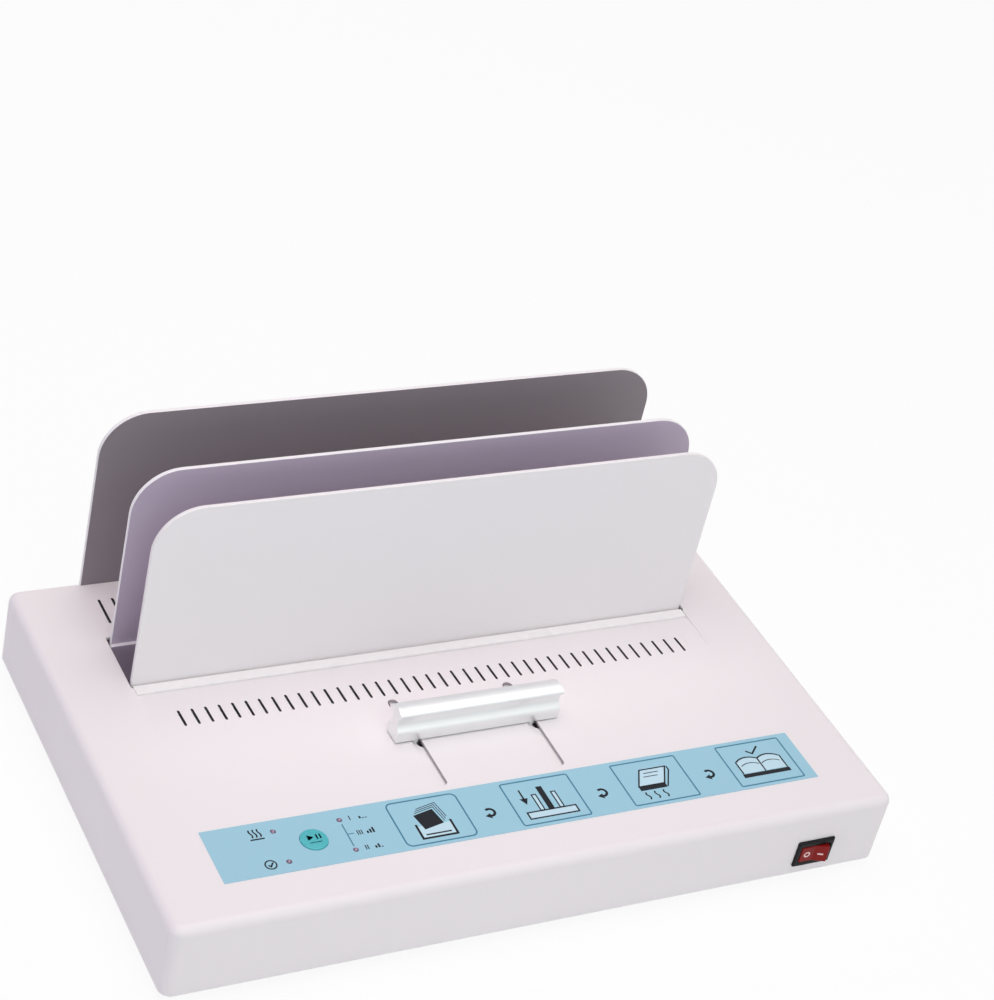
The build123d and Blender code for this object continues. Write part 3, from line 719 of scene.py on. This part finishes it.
def dress(material, *nodes):
    """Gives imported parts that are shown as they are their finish."""
    for name in nodes:
        part = frame["nodes"][name]
        if not part.material_slots:
            part.data.materials.append(material)
        for place in part.material_slots:
            place.material = material


zinc = drawn_metal(
    "zinc_sheet", (0.66, 0.67, 0.70, 1), (0.50, 0.52, 0.56, 1), (60.0, 700.0, 60.0), 0.28, 0.5
)
dress(zinc, "slide_arm_left", "slide_arm_right", "rod_brackets", "heater_stands", "plate_clamps")
dress(zinc, "heater_tray")

# the carriage shows through the two handle slots, so it is coated like the cover
dress(plate_paint, "carriage_plate")


# ---- guide rods and slide blocks ----
# Two ground and hard-chromed steel rods, turned down at their ends where the brackets hold them.
# Four white nylon blocks run on them and carry the slide arms.
chrome = drawn_metal(
    "rod_chrome", (0.80, 0.81, 0.83, 1), (0.70, 0.71, 0.74, 1), (1500.0, 40.0, 1500.0), 0.08, 0.2
)
dress(chrome, "guide_rods")


def moulded(name, colour, shade, low, high, depth=0.02 * MM, **own):
    """A moulded plastic or rubber with a spark-eroded grain."""
    return surface(name, coat_group, (colour, shade), (low, high), depth, own, Grain_Scale=2200.0)


nylon = moulded("white_nylon", (0.86, 0.86, 0.84, 1), (0.80, 0.80, 0.78, 1), 0.40, 0.55)
dress(nylon, "slide_blocks", "board_spacers")


# ---- handle ----
# A length of satin-anodised aluminium extrusion: a rolled top, a concave waist for the fingers and
# an upright foot. Its ends are sawn and its two white nylon shoes run in the slots.
aluminium = drawn_metal(
    "handle_aluminium",
    (0.870, 0.885, 0.878, 1),
    (0.862, 0.878, 0.871, 1),
    (10.0, 2600.0, 2600.0),
    0.30,
    0.36,
    depth=0.0004 * MM,
    cloud=0.08,
    metal=0.78,
)
handle_low, handle_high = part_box("handle")
handle_y = (handle_low.y + handle_high.y) / 2


def arc_through(first, middle, last, steps):
    """Points after the first on the circle through three points of a plane."""
    (ax, ay), (bx, by), (cx, cy) = first, middle, last
    d = 2 * (ax * (by - cy) + bx * (cy - ay) + cx * (ay - by))
    squares = [x * x + y * y for x, y in (first, middle, last)]
    ux = (squares[0] * (by - cy) + squares[1] * (cy - ay) + squares[2] * (ay - by)) / d
    uy = (squares[0] * (cx - bx) + squares[1] * (ax - cx) + squares[2] * (bx - ax)) / d
    radius = math.hypot(ax - ux, ay - uy)
    start, end = math.atan2(ay - uy, ax - ux), math.atan2(cy - uy, cx - ux)
    through = math.atan2(by - uy, bx - ux)
    turn = (end - start) % (2 * math.pi)
    if (through - start) % (2 * math.pi) > turn:
        turn -= 2 * math.pi
    angles = [start + turn * step / steps for step in range(1, steps + 1)]
    return [(ux + radius * math.cos(a), uy + radius * math.sin(a)) for a in angles]


# one half of the section in millimetres, from the middle of its foot up to the middle of its top
half = [(0.0, 0.0), (4.8, 0.0)]
half += arc_through((4.8, 0.0), (5.08, 0.12), (5.2, 0.4), 4)
half += [(5.5, 4.6)]
half += arc_through((5.5, 4.6), (5.3, 5.9), (4.7, 7.0), 8)
half += arc_through((4.7, 7.0), (2.9, 10.8), (3.5, 14.3), 16)
half += [(5.0, 15.1)]
half += arc_through((5.0, 15.1), (5.3, 16.3), (4.2, 17.5), 8)
half += arc_through((4.2, 17.5), (2.3, 18.07), (0.0, 18.3), 6)
profile = half + [(-y, z) for y, z in half[-2:0:-1]]
outline = [(handle_y + y * MM, handle_low.z + z * MM) for y, z in profile]
bm = bmesh.new()
prism(bm, outline, handle_low.x, handle_high.x, "x")
handle = as_object(bm, "pull_handle", aluminium)
soften(handle, 0.2 * MM, 2, 50)
fit(handle, "jaw", "handle_aluminium", "handle")

shoe_low, shoe_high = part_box("handle_shoes")
shoe_width = 5.0 * MM
bm = bmesh.new()
for x in slot_xs:
    shoe_outline = obround(x, handle_y, shoe_width, shoe_high.y - shoe_low.y, 8)
    prism(bm, shoe_outline, shoe_low.z, shoe_high.z)
shoes = as_object(bm, "slot_shoes", nylon)
soften(shoes, 0.2 * MM, 2)
fit(shoes, "jaw", "white_nylon", "handle_shoes")


# ---- heater ----
# A milled aluminium heating plate over a foil-clad strip heater, on fibre insulation board in a
# shallow zinc-plated tray.
heating_metal = drawn_metal(
    "heating_aluminium", (0.58, 0.58, 0.60, 1), (0.46, 0.46, 0.48, 1), (20.0, 1200.0, 20.0), 0.35, 0.5
)
foil = drawn_metal(
    "heater_foil", (0.52, 0.50, 0.47, 1), (0.40, 0.39, 0.37, 1), (300.0, 300.0, 300.0), 0.35, 0.6
)
board_fibre = moulded("insulation_fibre", (0.62, 0.56, 0.45, 1), (0.52, 0.46, 0.37, 1), 0.8, 0.95)
dress(heating_metal, "heating_plate")
dress(foil, "strip_heater")
dress(board_fibre, "insulation_board")


# ---- control label ----
# A printed polyester foil, glued to the cover. Fine dark frames hold four plain drawings of the
# steps, and small signs stand beside the lamps. The prints' places and widths are in millimetres.
label_foil = moulded(
    "label_foil",
    (0.337, 0.602, 0.723, 1),
    (0.322, 0.585, 0.708, 1),
    0.32,
    0.42,
    depth=0.006 * MM,
    Specular_IOR_Level=0.45,
)
dress(label_foil, "control_label")
ink_depth = 0.004 * MM
line_ink = moulded("line_ink", (0.030, 0.180, 0.290, 1), (0.040, 0.200, 0.310, 1), 0.40, 0.5, ink_depth)
dark_ink = moulded(
    "dark_ink",
    (0.003, 0.005, 0.009, 1),
    (0.006, 0.009, 0.014, 1),
    0.45,
    0.55,
    ink_depth,
    Specular_IOR_Level=0.2,
)
pale_ink = moulded("pale_ink", (0.545, 0.755, 0.850, 1), (0.525, 0.735, 0.835, 1), 0.34, 0.44, ink_depth)
ink_low = label_high.z
ink_high = label_high.z + 0.04 * MM
pale_high = label_high.z + 0.025 * MM
least_lean = 0.5


def ribbon(bm, points, width, closed=False, low=ink_low, high=ink_high):
    """A printed line of even width along points in millimetres, mitred at its corners."""
    count = len(points)
    rows = []
    for index, (x, y) in enumerate(points):
        before = points[index - 1] if closed or index else points[index]
        after = points[(index + 1) % count] if closed or index < count - 1 else points[index]
        into = Vector((x - before[0], y - before[1])).normalized()
        out = Vector((after[0] - x, after[1] - y)).normalized()
        along = (into + out).normalized() if (into + out).length > 1e-6 else out
        across = Vector((-along.y, along.x))
        lean = max(abs(across.dot(Vector((-out.y, out.x)) if out.length else across)), least_lean)
        step = across * (width / 2 / lean)
        corners = ((x + step.x, y + step.y), (x - step.x, y - step.y))
        rows.append([bm.verts.new((a * MM, b * MM, z)) for z in (low, high) for a, b in corners])
    faces = []
    for index in range(count if closed else count - 1):
        one, two = rows[index], rows[(index + 1) % count]
        for a, b in ((0, 1), (1, 3), (3, 2), (2, 0)):
            faces.append(bm.faces.new((one[a], two[a], two[b], one[b])))
    if not closed:
        faces += [bm.faces.new([row[i] for i in (0, 1, 3, 2)]) for row in (rows[0], rows[-1])]
    bmesh.ops.recalc_face_normals(bm, faces=faces)


def patch(bm, points, low=ink_low, high=ink_high):
    """A printed solid area with corners in millimetres."""
    prism(bm, [(x * MM, y * MM) for x, y in points], low, high)


def wave(x, y, swing, rise):
    """Points of a small rising wave, for the warmth signs."""
    return [(x + swing * math.sin(turn / 2), y + turn * rise) for turn in range(13)]


frame_low_y, frame_high_y = -97.0, -67.9
step_frames = ((-67.7, -31.1, 3.0), (-6.5, 30.3, 1.2), (55.0, 91.6, 0.8), (116.2, 153.2, 0.8))
lines = bmesh.new()
for low_x, high_x, radius in step_frames:
    outline = rounded_rectangle(low_x, frame_low_y, high_x, frame_high_y, radius, 5)
    ribbon(lines, outline, 0.8, True)
lamp_x = lamp_points[-1][0] / MM
ribbon(lines, [(lamp_x, -75.6), (lamp_x, -90.4)], 0.6)
ribbon(lines, [(lamp_x + 0.3, -82.4), (lamp_x + 3.4, -82.4)], 0.5)
fit(as_object(lines, "label_lines", line_ink), "housing", "label_foil")

# heating levels I, III and II beside the right lamps, each with its bars
signs = bmesh.new()
half_numeral = 1.5
for y, strokes in ((-72.3, 1), (-82.4, 3), (-92.4, 2)):
    foot = y - half_numeral
    for index in range(strokes):
        x = -87.6 + 1.1 * index
        ribbon(signs, [(x, foot), (x, y + half_numeral)], 0.5)
    for index in range(3):
        x = -82.6 + 1.5 * index
        rise = (1.6 + 0.9 * index) if index < strokes else 0.5
        ribbon(signs, [(x, foot), (x, foot + rise)], 0.95)

# curved arrows from step to step, a heat sign and a ready sign beside the left lamps
for x in (-19.2, 42.3, 103.7):
    ribbon(signs, arc(x, -84.4, 2.35, 130, -100, 16), 1.35)
    patch(signs, [(x - 3.3, -86.4), (x - 0.3, -84.9), (x - 0.3, -88.6)])
for index in range(3):
    ribbon(signs, wave(-137.2 + 2.1 * index, -74.6, 0.5, 0.44), 0.75)
ribbon(signs, [(-138.6, -75.8), (-131.6, -75.8)], 0.85)
ribbon(signs, circle(-135.2, -92.8, 2.7, 28), 0.7, True)
ribbon(signs, [(-136.5, -92.9), (-135.5, -94.0), (-133.8, -91.6)], 0.8)

# the four steps, dark lines over pale areas
fills = bmesh.new()
y = (frame_low_y + frame_high_y) / 2
step_xs = [(low_x + high_x) / 2 for low_x, high_x, radius in step_frames]


def pale(points):
    """A pale printed area below the dark lines."""
    patch(fills, points, ink_low, pale_high)


def pale_framed(points, width):
    """A pale printed area with a dark line around it."""
    pale(points)
    ribbon(signs, points, width, True)


# step one: the sheets go into a cover with its glued spine down
x = step_xs[0]
pale(rectangle(x - 8.4, y - 10.6, x + 8.4, y - 3.0))
ribbon(signs, [(x - 9.0, y - 1.6), (x - 9.0, y - 11.2), (x + 9.0, y - 11.2), (x + 9.0, y - 1.6)], 1.2)
ribbon(signs, [(x - 6.6, y - 9.0), (x + 6.6, y - 9.0)], 0.9)
patch(signs, [(x - 5.6, y - 5.6), (x + 5.2, y - 3.2), (x + 3.2, y + 6.8), (x - 7.6, y + 4.4)])
for shift in (1.3, 2.6, 3.9):
    right, up = x + shift * 0.75, y + shift
    ribbon(signs, [(right + 5.2, up - 3.2), (right + 3.2, up + 6.8), (right - 7.6, up + 4.4)], 0.4)

# step two: the book stands between the plates of the machine
x = step_xs[1]
pale_framed(rectangle(x - 13.2, y - 11.0, x + 13.2, y - 6.6), 0.85)
for left in (x - 5.6, x + 5.0):
    pale_framed(rectangle(left, y - 6.4, left + 2.2, y + 4.6), 0.7)
patch(signs, rectangle(x - 1.2, y - 6.4, x + 2.0, y + 9.4))
ribbon(signs, [(x - 10.6, y + 9.0), (x - 10.6, y + 2.6)], 0.9)
patch(signs, [(x - 12.8, y + 3.0), (x - 8.4, y + 3.0), (x - 10.6, y - 1.2)])

# step three: heat rises into the spine
x = step_xs[2]
pale_framed([(x - 10.5, y - 2.6), (x + 4.2, y - 2.6), (x + 10.0, y + 8.4), (x - 4.7, y + 8.4)], 0.8)
ribbon(signs, [(x - 3.6, y + 5.8), (x + 4.8, y + 5.8)], 0.5)
ribbon(signs, [(x - 4.9, y + 3.4), (x + 3.4, y + 3.4)], 0.5)
patch(signs, rectangle(x - 10.7, y - 5.6, x + 4.4, y - 2.8))
ribbon(signs, [(x + 4.8, y - 5.2), (x + 10.8, y + 5.6), (x + 10.8, y + 8.2)], 0.75)
for index in range(3):
    ribbon(signs, wave(x - 8.6 + 5.0 * index, y - 12.0, 0.7, 0.42), 0.8)

# step four: the bound book lies open
x = step_xs[3]
for side in (-1, 1):
    leaf_x, edge_x = x + side * 6.0, x + side * 13.0
    page = arc(leaf_x, y - 5.6, 10.4, 90 + side * 35, 90 - side * 39, 12)
    pale([(x, y - 6.2), *page, (x + side * 12.6, y - 6.2)])
    ribbon(signs, page, 0.85)
    ribbon(signs, arc(leaf_x, y - 8.8, 9.4, 90 + side * 34, 90 - side * 34, 10), 0.5)
    ribbon(signs, [(edge_x, y - 6.4), (edge_x, y + 2.6)], 0.8)
ribbon(signs, [(x, y - 6.4), (x, y + 2.9)], 0.8)
patch(signs, rectangle(x - 13.8, y - 9.2, x + 13.8, y - 6.6))
ribbon(signs, [(x - 3.4, y + 9.0), (x - 0.6, y + 6.6), (x + 4.4, y + 11.2)], 0.95)
fit(as_object(signs, "label_signs", dark_ink), "housing", "label_foil")
fit(as_object(fills, "label_fills", pale_ink), "housing", "label_foil")


# ---- start key ----
# A moulded teal key with a broken rim that stands a little above the foil. It carries a printed
# triangle and two bars, and a collar below the cover keeps it in.
key_teal = moulded(
    "key_teal", (0.060, 0.470, 0.510, 1), (0.070, 0.450, 0.490, 1), 0.28, 0.4, depth=0.008 * MM
)
key_rim = 0.45 * MM
stem_radius = 1.5 * MM
collar_radius = 8.2 * MM
collar_low = key_low.z + 1.9 * MM
collar_high = sheet_under - 0.2 * MM
crown_radius = 0.4 * MM


def lathe(bm, centre, profile, steps=48):
    """An upright turned solid: rings of (radius, level), the first and last closed by a flat."""
    rings = []
    for radius, level in profile:
        outline = circle(0, 0, radius, steps)
        rings.append([bm.verts.new(Vector(centre) + Vector((x, y, level))) for x, y in outline])
    close_rings(bm, rings)


key_profile = [(stem_radius, key_low.z), (stem_radius, collar_low)]
key_profile += [(collar_radius, collar_low), (collar_radius, collar_high)]
key_profile += [(key_radius, collar_high), (key_radius, key_high.z - key_rim)]
key_profile += [(key_radius - inset, key_high.z - drop) for inset, drop in quarter(key_rim, 5)]
key_profile.append((crown_radius, key_high.z))
bm = bmesh.new()
lathe(bm, (*key_centre, 0), key_profile)
fit(as_object(bm, "start_key_cap", key_teal), "start_key", "button_teal", "start_button")
bm = bmesh.new()
x, y = key_centre[0] / MM, key_centre[1] / MM
print_low, print_high = key_high.z - 0.02 * MM, key_high.z
patch(bm, [(x - 3.0, y - 0.6), (x + 0.2, y + 1.2), (x - 3.0, y + 3.0)], print_low, print_high)
for bar_x in (x + 1.7, x + 3.4):
    ribbon(bm, [(bar_x, y - 0.4), (bar_x, y + 2.8)], 0.8, False, print_low, print_high)
ribbon(bm, [(x - 2.8, y - 2.2), (x + 3.4, y - 2.2)], 0.45, False, print_low, print_high)
fit(as_object(bm, "start_key_print", dark_ink), "start_key", "button_teal")


# ---- status lamps ----
# Four light pipes of smoked plastic stand on the control board and pass through the cover. Their
# domed ends rise just above the foil, each with a lighter tip on its top that is a painted highlight.
lens = bpy.data.materials.new("lamp_lens")
lens.use_nodes = True
tree = lens.node_tree
smoke_cloud = noise(tree, node(tree, "ShaderNodeTexCoord").outputs["Object"], 900.0)
settle(
    tree,
    tree.nodes["Principled BSDF"],
    Base_Color=mix(tree, smoke_cloud, (0.125, 0.050, 0.120, 1), (0.170, 0.080, 0.165, 1)),
    Roughness=0.12,
    Coat_Weight=0.6,
    Coat_Roughness=0.05,
    Subsurface_Weight=0.15,
)
# painted highlight: a lighter tip where each dome faces up
tip_painted_highlight = moulded("tip_painted_highlight", (0.480, 0.330, 0.460, 1), (0.560, 0.410, 0.540, 1), 0.12, 0.2, ink_depth)
tip_radius, tip_flat = 0.55 * MM, 0.33 * MM
lamp_step = lamp_high.z - 0.3 * MM
lamp_tip = lamp_high.z - 0.06 * MM
dome_end = math.radians(75)
dome = [(lamp_radius, lamp_low.z), (lamp_radius, lamp_step)]
for step in range(1, 6):
    angle = dome_end * step / 5
    rise = (lamp_tip - lamp_step) * math.sin(angle) / math.sin(dome_end)
    dome.append((lamp_radius * math.cos(angle), lamp_step + rise))
tip = [(tip_radius, lamp_step), (tip_radius, lamp_tip), (tip_flat, lamp_high.z)]
bm = bmesh.new()
for x, y in lamp_points:
    lathe(bm, (x, y, 0), dome, 24)
fit(as_object(bm, "lamp_domes", lens), "housing", "lamp_lens", "status_lamps")
bm = bmesh.new()
for x, y in lamp_points:
    lathe(bm, (x, y, 0), tip, 16)
fit(as_object(bm, "lamp_tips", tip_painted_highlight), "housing", "lamp_lens")


# ---- circuit boards ----
# Glass-fibre boards with green solder mask: the control board hangs under the label, and the power
# board stands on the base with its transformer, relay, fuse and terminals.
solder_mask = moulded(
    "circuit_board", (0.012, 0.120, 0.055, 1), (0.018, 0.150, 0.070, 1), 0.22, 0.34, depth=0.01 * MM
)
component_black = moulded(
    "component_black", (0.012, 0.012, 0.014, 1), (0.020, 0.020, 0.022, 1), 0.45, 0.6
)
resin = moulded("transformer_core", (0.035, 0.035, 0.042, 1), (0.050, 0.050, 0.058, 1), 0.4, 0.6)
brass = drawn_metal(
    "contact_brass", (0.72, 0.53, 0.22, 1), (0.60, 0.43, 0.17, 1), (90.0, 900.0, 90.0), 0.18, 0.34
)
dress(solder_mask, "control_board", "power_board")
dress(component_black, "board_components", "power_components")
dress(resin, "transformer")
dress(brass, "board_standoffs", "switch_terminals")


# ---- power switch ----
# A snap-in rocker switch: a black moulded frame with a red rocker that stands with its off side
# pressed. The rocker's two signs are printed in pale ink.
switch_black = moulded(
    "switch_black",
    (0.006, 0.006, 0.007, 1),
    (0.010, 0.010, 0.011, 1),
    0.36,
    0.48,
    depth=0.01 * MM,
    Specular_IOR_Level=0.18,
)
bezel_x, bezel_z = (switch_high.x - switch_low.x) / 2, (switch_high.z - switch_low.z) / 2
bezel_y, well_y = switch_low.y, switch_high.y - 1.1 * MM
bezel_slope = 0.8 * MM
well_x, well_z = 8.5 * MM, 5.0 * MM
well_slope = 0.35 * MM
body_x, body_z = 9.4 * MM, 6.4 * MM
frame_rings = [
    (bezel_x, bezel_z, cover_low.y, 0.9 * MM),
    (bezel_x, bezel_z, bezel_y + bezel_slope, 0.9 * MM),
    (bezel_x - bezel_slope, bezel_z - bezel_slope, bezel_y, 0.7 * MM),
    (well_x + well_slope, well_z + well_slope, bezel_y, 0.5 * MM),
    (well_x, well_z, bezel_y + well_slope, 0.4 * MM),
    (well_x, well_z, well_y, 0.4 * MM),
]
body_rings = [(body_x, body_z, cover_low.y, 0.5 * MM), (body_x, body_z, switch_high.y, 0.5 * MM)]


def box_ring(bm, half_x, half_z, y, radius):
    """One level of the switch, which lies along Y: a rectangle with round corners."""
    outline = rounded_rectangle(
        switch_x - half_x, switch_z - half_z, switch_x + half_x, switch_z + half_z, radius, 5
    )
    return [bm.verts.new((x, y, z)) for x, z in outline]


bm = bmesh.new()
front = [box_ring(bm, *ring) for ring in frame_rings]
behind = [box_ring(bm, *ring) for ring in body_rings]
for rings in (front, behind, [front[0], behind[0]]):
    join_rings(bm, rings)
bm.faces.new(front[-1])
bm.faces.new(behind[-1])
bmesh.ops.recalc_face_normals(bm, faces=bm.faces)
switch_frame = as_object(bm, "switch_frame", switch_black)
soften(switch_frame, 0.12 * MM, 2)
fit(switch_frame, "housing", "switch_black", "switch_body")

rocker_red = moulded(
    "rocker_red",
    (0.250, 0.008, 0.007, 1),
    (0.190, 0.005, 0.005, 1),
    0.22,
    0.30,
    depth=0.006 * MM,
    Specular_IOR_Level=0.16,
)
pivot = Vector(next(j["pos_m"] for j in frame["joints"] if j["name"] == "power_switch"))
rocker_tilt = math.radians(11.0)
rocker_half_height = 4.8 * MM
face_middle, face_end = (0, -3.76), (7.4, -5.2)
rocker_outline = [face_middle, face_end, (7.9, -2.5), (8.2, 0), (7.4, 3.4)]
rocker_outline += [(-x, y) for x, y in rocker_outline[:0:-1]]


def on_rocker(x, y):
    """A point of the rocker's own plan, in millimetres, turned to its off position."""
    turned = Matrix.Rotation(-rocker_tilt, 2) @ Vector((x * MM, y * MM))
    return (pivot.x + turned.x, pivot.y + turned.y)


bm = bmesh.new()
rocker_low, rocker_high = switch_z - rocker_half_height, switch_z + rocker_half_height
prism(bm, [on_rocker(x, y) for x, y in rocker_outline], rocker_low, rocker_high)
rocker = as_object(bm, "rocker_cap", rocker_red)
soften(rocker, 0.5 * MM, 4, 20)
fit(rocker, "power_rocker", "rocker_red", "switch_rocker")

sign_ink = moulded("sign_ink", (0.88, 0.62, 0.60, 1), (0.84, 0.56, 0.54, 1), 0.4, 0.5, ink_depth)
sign_out, sign_in = 0.04, 0.02


def on_half(side, along, up, out):
    """A point on one half of the rocker's face: along it, up it, and out from it, in millimetres."""
    middle, end = Vector(face_middle), Vector((side * face_end[0], face_end[1]))
    run = (end - middle).normalized()
    outward = side * Vector((run.y, -run.x))
    x, y = on_rocker(*(middle + run * along + outward * out))
    return (x, y, switch_z + up * MM)


# the ring of the off side and the dash of the on side, a little above and below the face
ring_middle = 3.9
ring_half_length, ring_half_height = 1.45, 1.35
half_width = 0.4
ring_turns = [2 * math.pi * step / 28 for step in range(28)]
bm = bmesh.new()
loops = []
for reach, out in (
    (half_width, sign_out),
    (half_width, -sign_in),
    (-half_width, -sign_in),
    (-half_width, sign_out),
):
    loop = []
    for turn in ring_turns:
        along = ring_middle + (ring_half_length + reach) * math.cos(turn)
        up = (ring_half_height + reach) * math.sin(turn)
        loop.append(bm.verts.new(on_half(-1, along, up, out)))
    loops.append(loop)
bmesh.ops.recalc_face_normals(bm, faces=join_rings(bm, loops + loops[:1]))
bar = rectangle(2.1, -0.47, 5.1, 0.47)
bar_rings = [[bm.verts.new(on_half(1, a, u, out)) for a, u in bar] for out in (sign_out, -sign_in)]
close_rings(bm, bar_rings)
fit(as_object(bm, "rocker_signs", sign_ink), "power_rocker", "rocker_red")


# ---- mains inlet ----
# A black appliance inlet in the back wall: a flange outside, a keyed socket with three brass pins,
# and two countersunk screws. The cord is a separate part.
inlet_flange = 3.6 * MM
inlet_body = (27 * MM, 22 * MM, 20 * MM)
inlet_body_y = cover_high.y - 9.0 * MM
socket_depth = 16.0 * MM
cut_past = 1.0 * MM
flange_outline = [(-24, -7), (-20, -11), (20, -11), (24, -7), (24, 7), (20, 11), (-20, 11), (-24, 7)]
socket_outline = [(-12.25, -8.5), (12.25, -8.5), (12.25, 4.5), (8.25, 8.5), (-8.25, 8.5), (-12.25, 4.5)]


def on_inlet(outline):
    """An outline in millimetres about the inlet's middle, in its place on the back wall."""
    return [(inlet_x + x * MM, inlet_z + z * MM) for x, z in outline]


bm = bmesh.new()
prism(bm, on_inlet(flange_outline), cover_high.y, cover_high.y + inlet_flange, "y")
inlet = as_object(bm, "inlet_housing", switch_black)
bm = bmesh.new()
block(bm, (inlet_x, inlet_body_y, inlet_z), inlet_body)
cut(inlet, bm, "UNION")
bm = bmesh.new()
prism(bm, on_inlet(socket_outline), inlet_high.y - socket_depth, inlet_high.y + cut_past, "y")
cut(inlet, bm)
soften(inlet, 0.5 * MM, 3)
fit(inlet, "housing", "switch_black", "mains_inlet")
dress(brass, "inlet_pins")


# ---- base plate and feet ----
# A flat sheet in grey paint with two rows of air slots closes the housing from below, under the
# cover's lips. Four black rubber feet are screwed on, hollow below for the heads of their screws.
base_paint = powder_coat("base_paint", (0.42, 0.42, 0.43, 1), (0.38, 0.38, 0.39, 1))
dress(base_paint, "base_plate")
foot_rubber = moulded("foot_rubber", (0.020, 0.020, 0.021, 1), (0.032, 0.032, 0.033, 1), 0.7, 0.88)
foot_low, foot_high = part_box("rubber_feet")
foot_radius = 9.0 * MM
well_radius, well_depth = 4.2 * MM, 2.2 * MM
foot_points = four_places(foot_low, foot_high, foot_radius)
bm = bmesh.new()
for x, y in foot_points:
    prism(bm, circle(x, y, foot_radius, 48), foot_low.z, foot_high.z)
feet = as_object(bm, "foot_pads", foot_rubber)
bm = bmesh.new()
for x, y in foot_points:
    prism(bm, circle(x, y, well_radius), foot_low.z - cut_past, foot_low.z + well_depth)
cut(feet, bm)
soften(feet, 0.5 * MM)
fit(feet, "housing", "foot_rubber", "rubber_feet")


# ---- screws ----
# Zinc-plated screws with a cross recess. Pan heads hold the base to the cover's lips, the feet to
# the base and the clamps of the rear plate to the back wall, and flat heads hold the inlet's flange.
screw_zinc = drawn_metal(
    "screw_zinc", (0.70, 0.70, 0.69, 1), (0.56, 0.56, 0.55, 1), (400.0, 400.0, 400.0), 0.2, 0.36
)

# the head's rounded profile and its recess, as shares of the head's radius and height
head_shares = ((1, 0), (1, 0.35), (0.94, 0.62), (0.80, 0.84), (0.55, 0.97), (0.2, 1.0))
recess_length, recess_width, recess_middle = 1.12, 0.2, 0.95
first_turn, next_turn = 12, 37


def screw_head(radius, height):
    """One pan head with a cross recess, its flat at the origin and its crown up +Z."""
    bm = bmesh.new()
    crown = [(radius * share, height * level) for share, level in head_shares]
    lathe(bm, (0, 0, 0), crown, 28)
    head = as_object(bm, "head", screw_zinc)
    length, width = radius * recess_length, radius * recess_width
    for size in ((length, width, height), (width, length, height)):
        recess = bmesh.new()
        block(recess, (0, 0, height * recess_middle), size)
        cut(head, recess)
    mesh = head.data
    bpy.data.objects.remove(head)
    return mesh


def screws(name, radius, height, places, facing):
    """A set of like screws in one piece, each turned a little differently."""
    head = screw_head(radius, height)
    bm = bmesh.new()
    aim = Vector(facing).to_track_quat("Z", "Y").to_matrix().to_4x4()
    for index, place in enumerate(places):
        turn = Matrix.Rotation(math.radians(first_turn + next_turn * index), 4, "Z")
        copy = head.copy()
        copy.transform(Matrix.Translation(place) @ aim @ turn)
        bm.from_mesh(copy)
        bpy.data.meshes.remove(copy)
    fit(as_object(bm, name, screw_zinc), "housing", "zinc_sheet")


base_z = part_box("base_plate")[0].z
lip_x, lip_y = 184.0 * MM, 113.5 * MM
base_places = [(x, y * MM, base_z) for x in (-lip_x, lip_x) for y in (-70, 0, 70)]
base_places += [(x * MM, y, base_z) for x in (-90, 90) for y in (-lip_y, lip_y)]
screws("base_screws", 3.1 * MM, 1.9 * MM, base_places, (0, 0, -1))
foot_places = [(x, y, foot_low.z + well_depth) for x, y in foot_points]
screws("foot_screws", 3.2 * MM, 1.6 * MM, foot_places, (0, 0, -1))
clamp_z = 38.4 * MM
clamp_places = [(x * MM, cover_high.y, clamp_z) for x in (-110, 0, 90)]
screws("clamp_screws", 2.9 * MM, 1.9 * MM, clamp_places, (0, 1, 0))
inlet_places = [(inlet_x + x * MM, inlet_high.y - 0.5 * MM, inlet_z) for x in (-18.2, 18.2)]
screws("inlet_screws", 2.6 * MM, 0.5 * MM, inlet_places, (0, 1, 0))
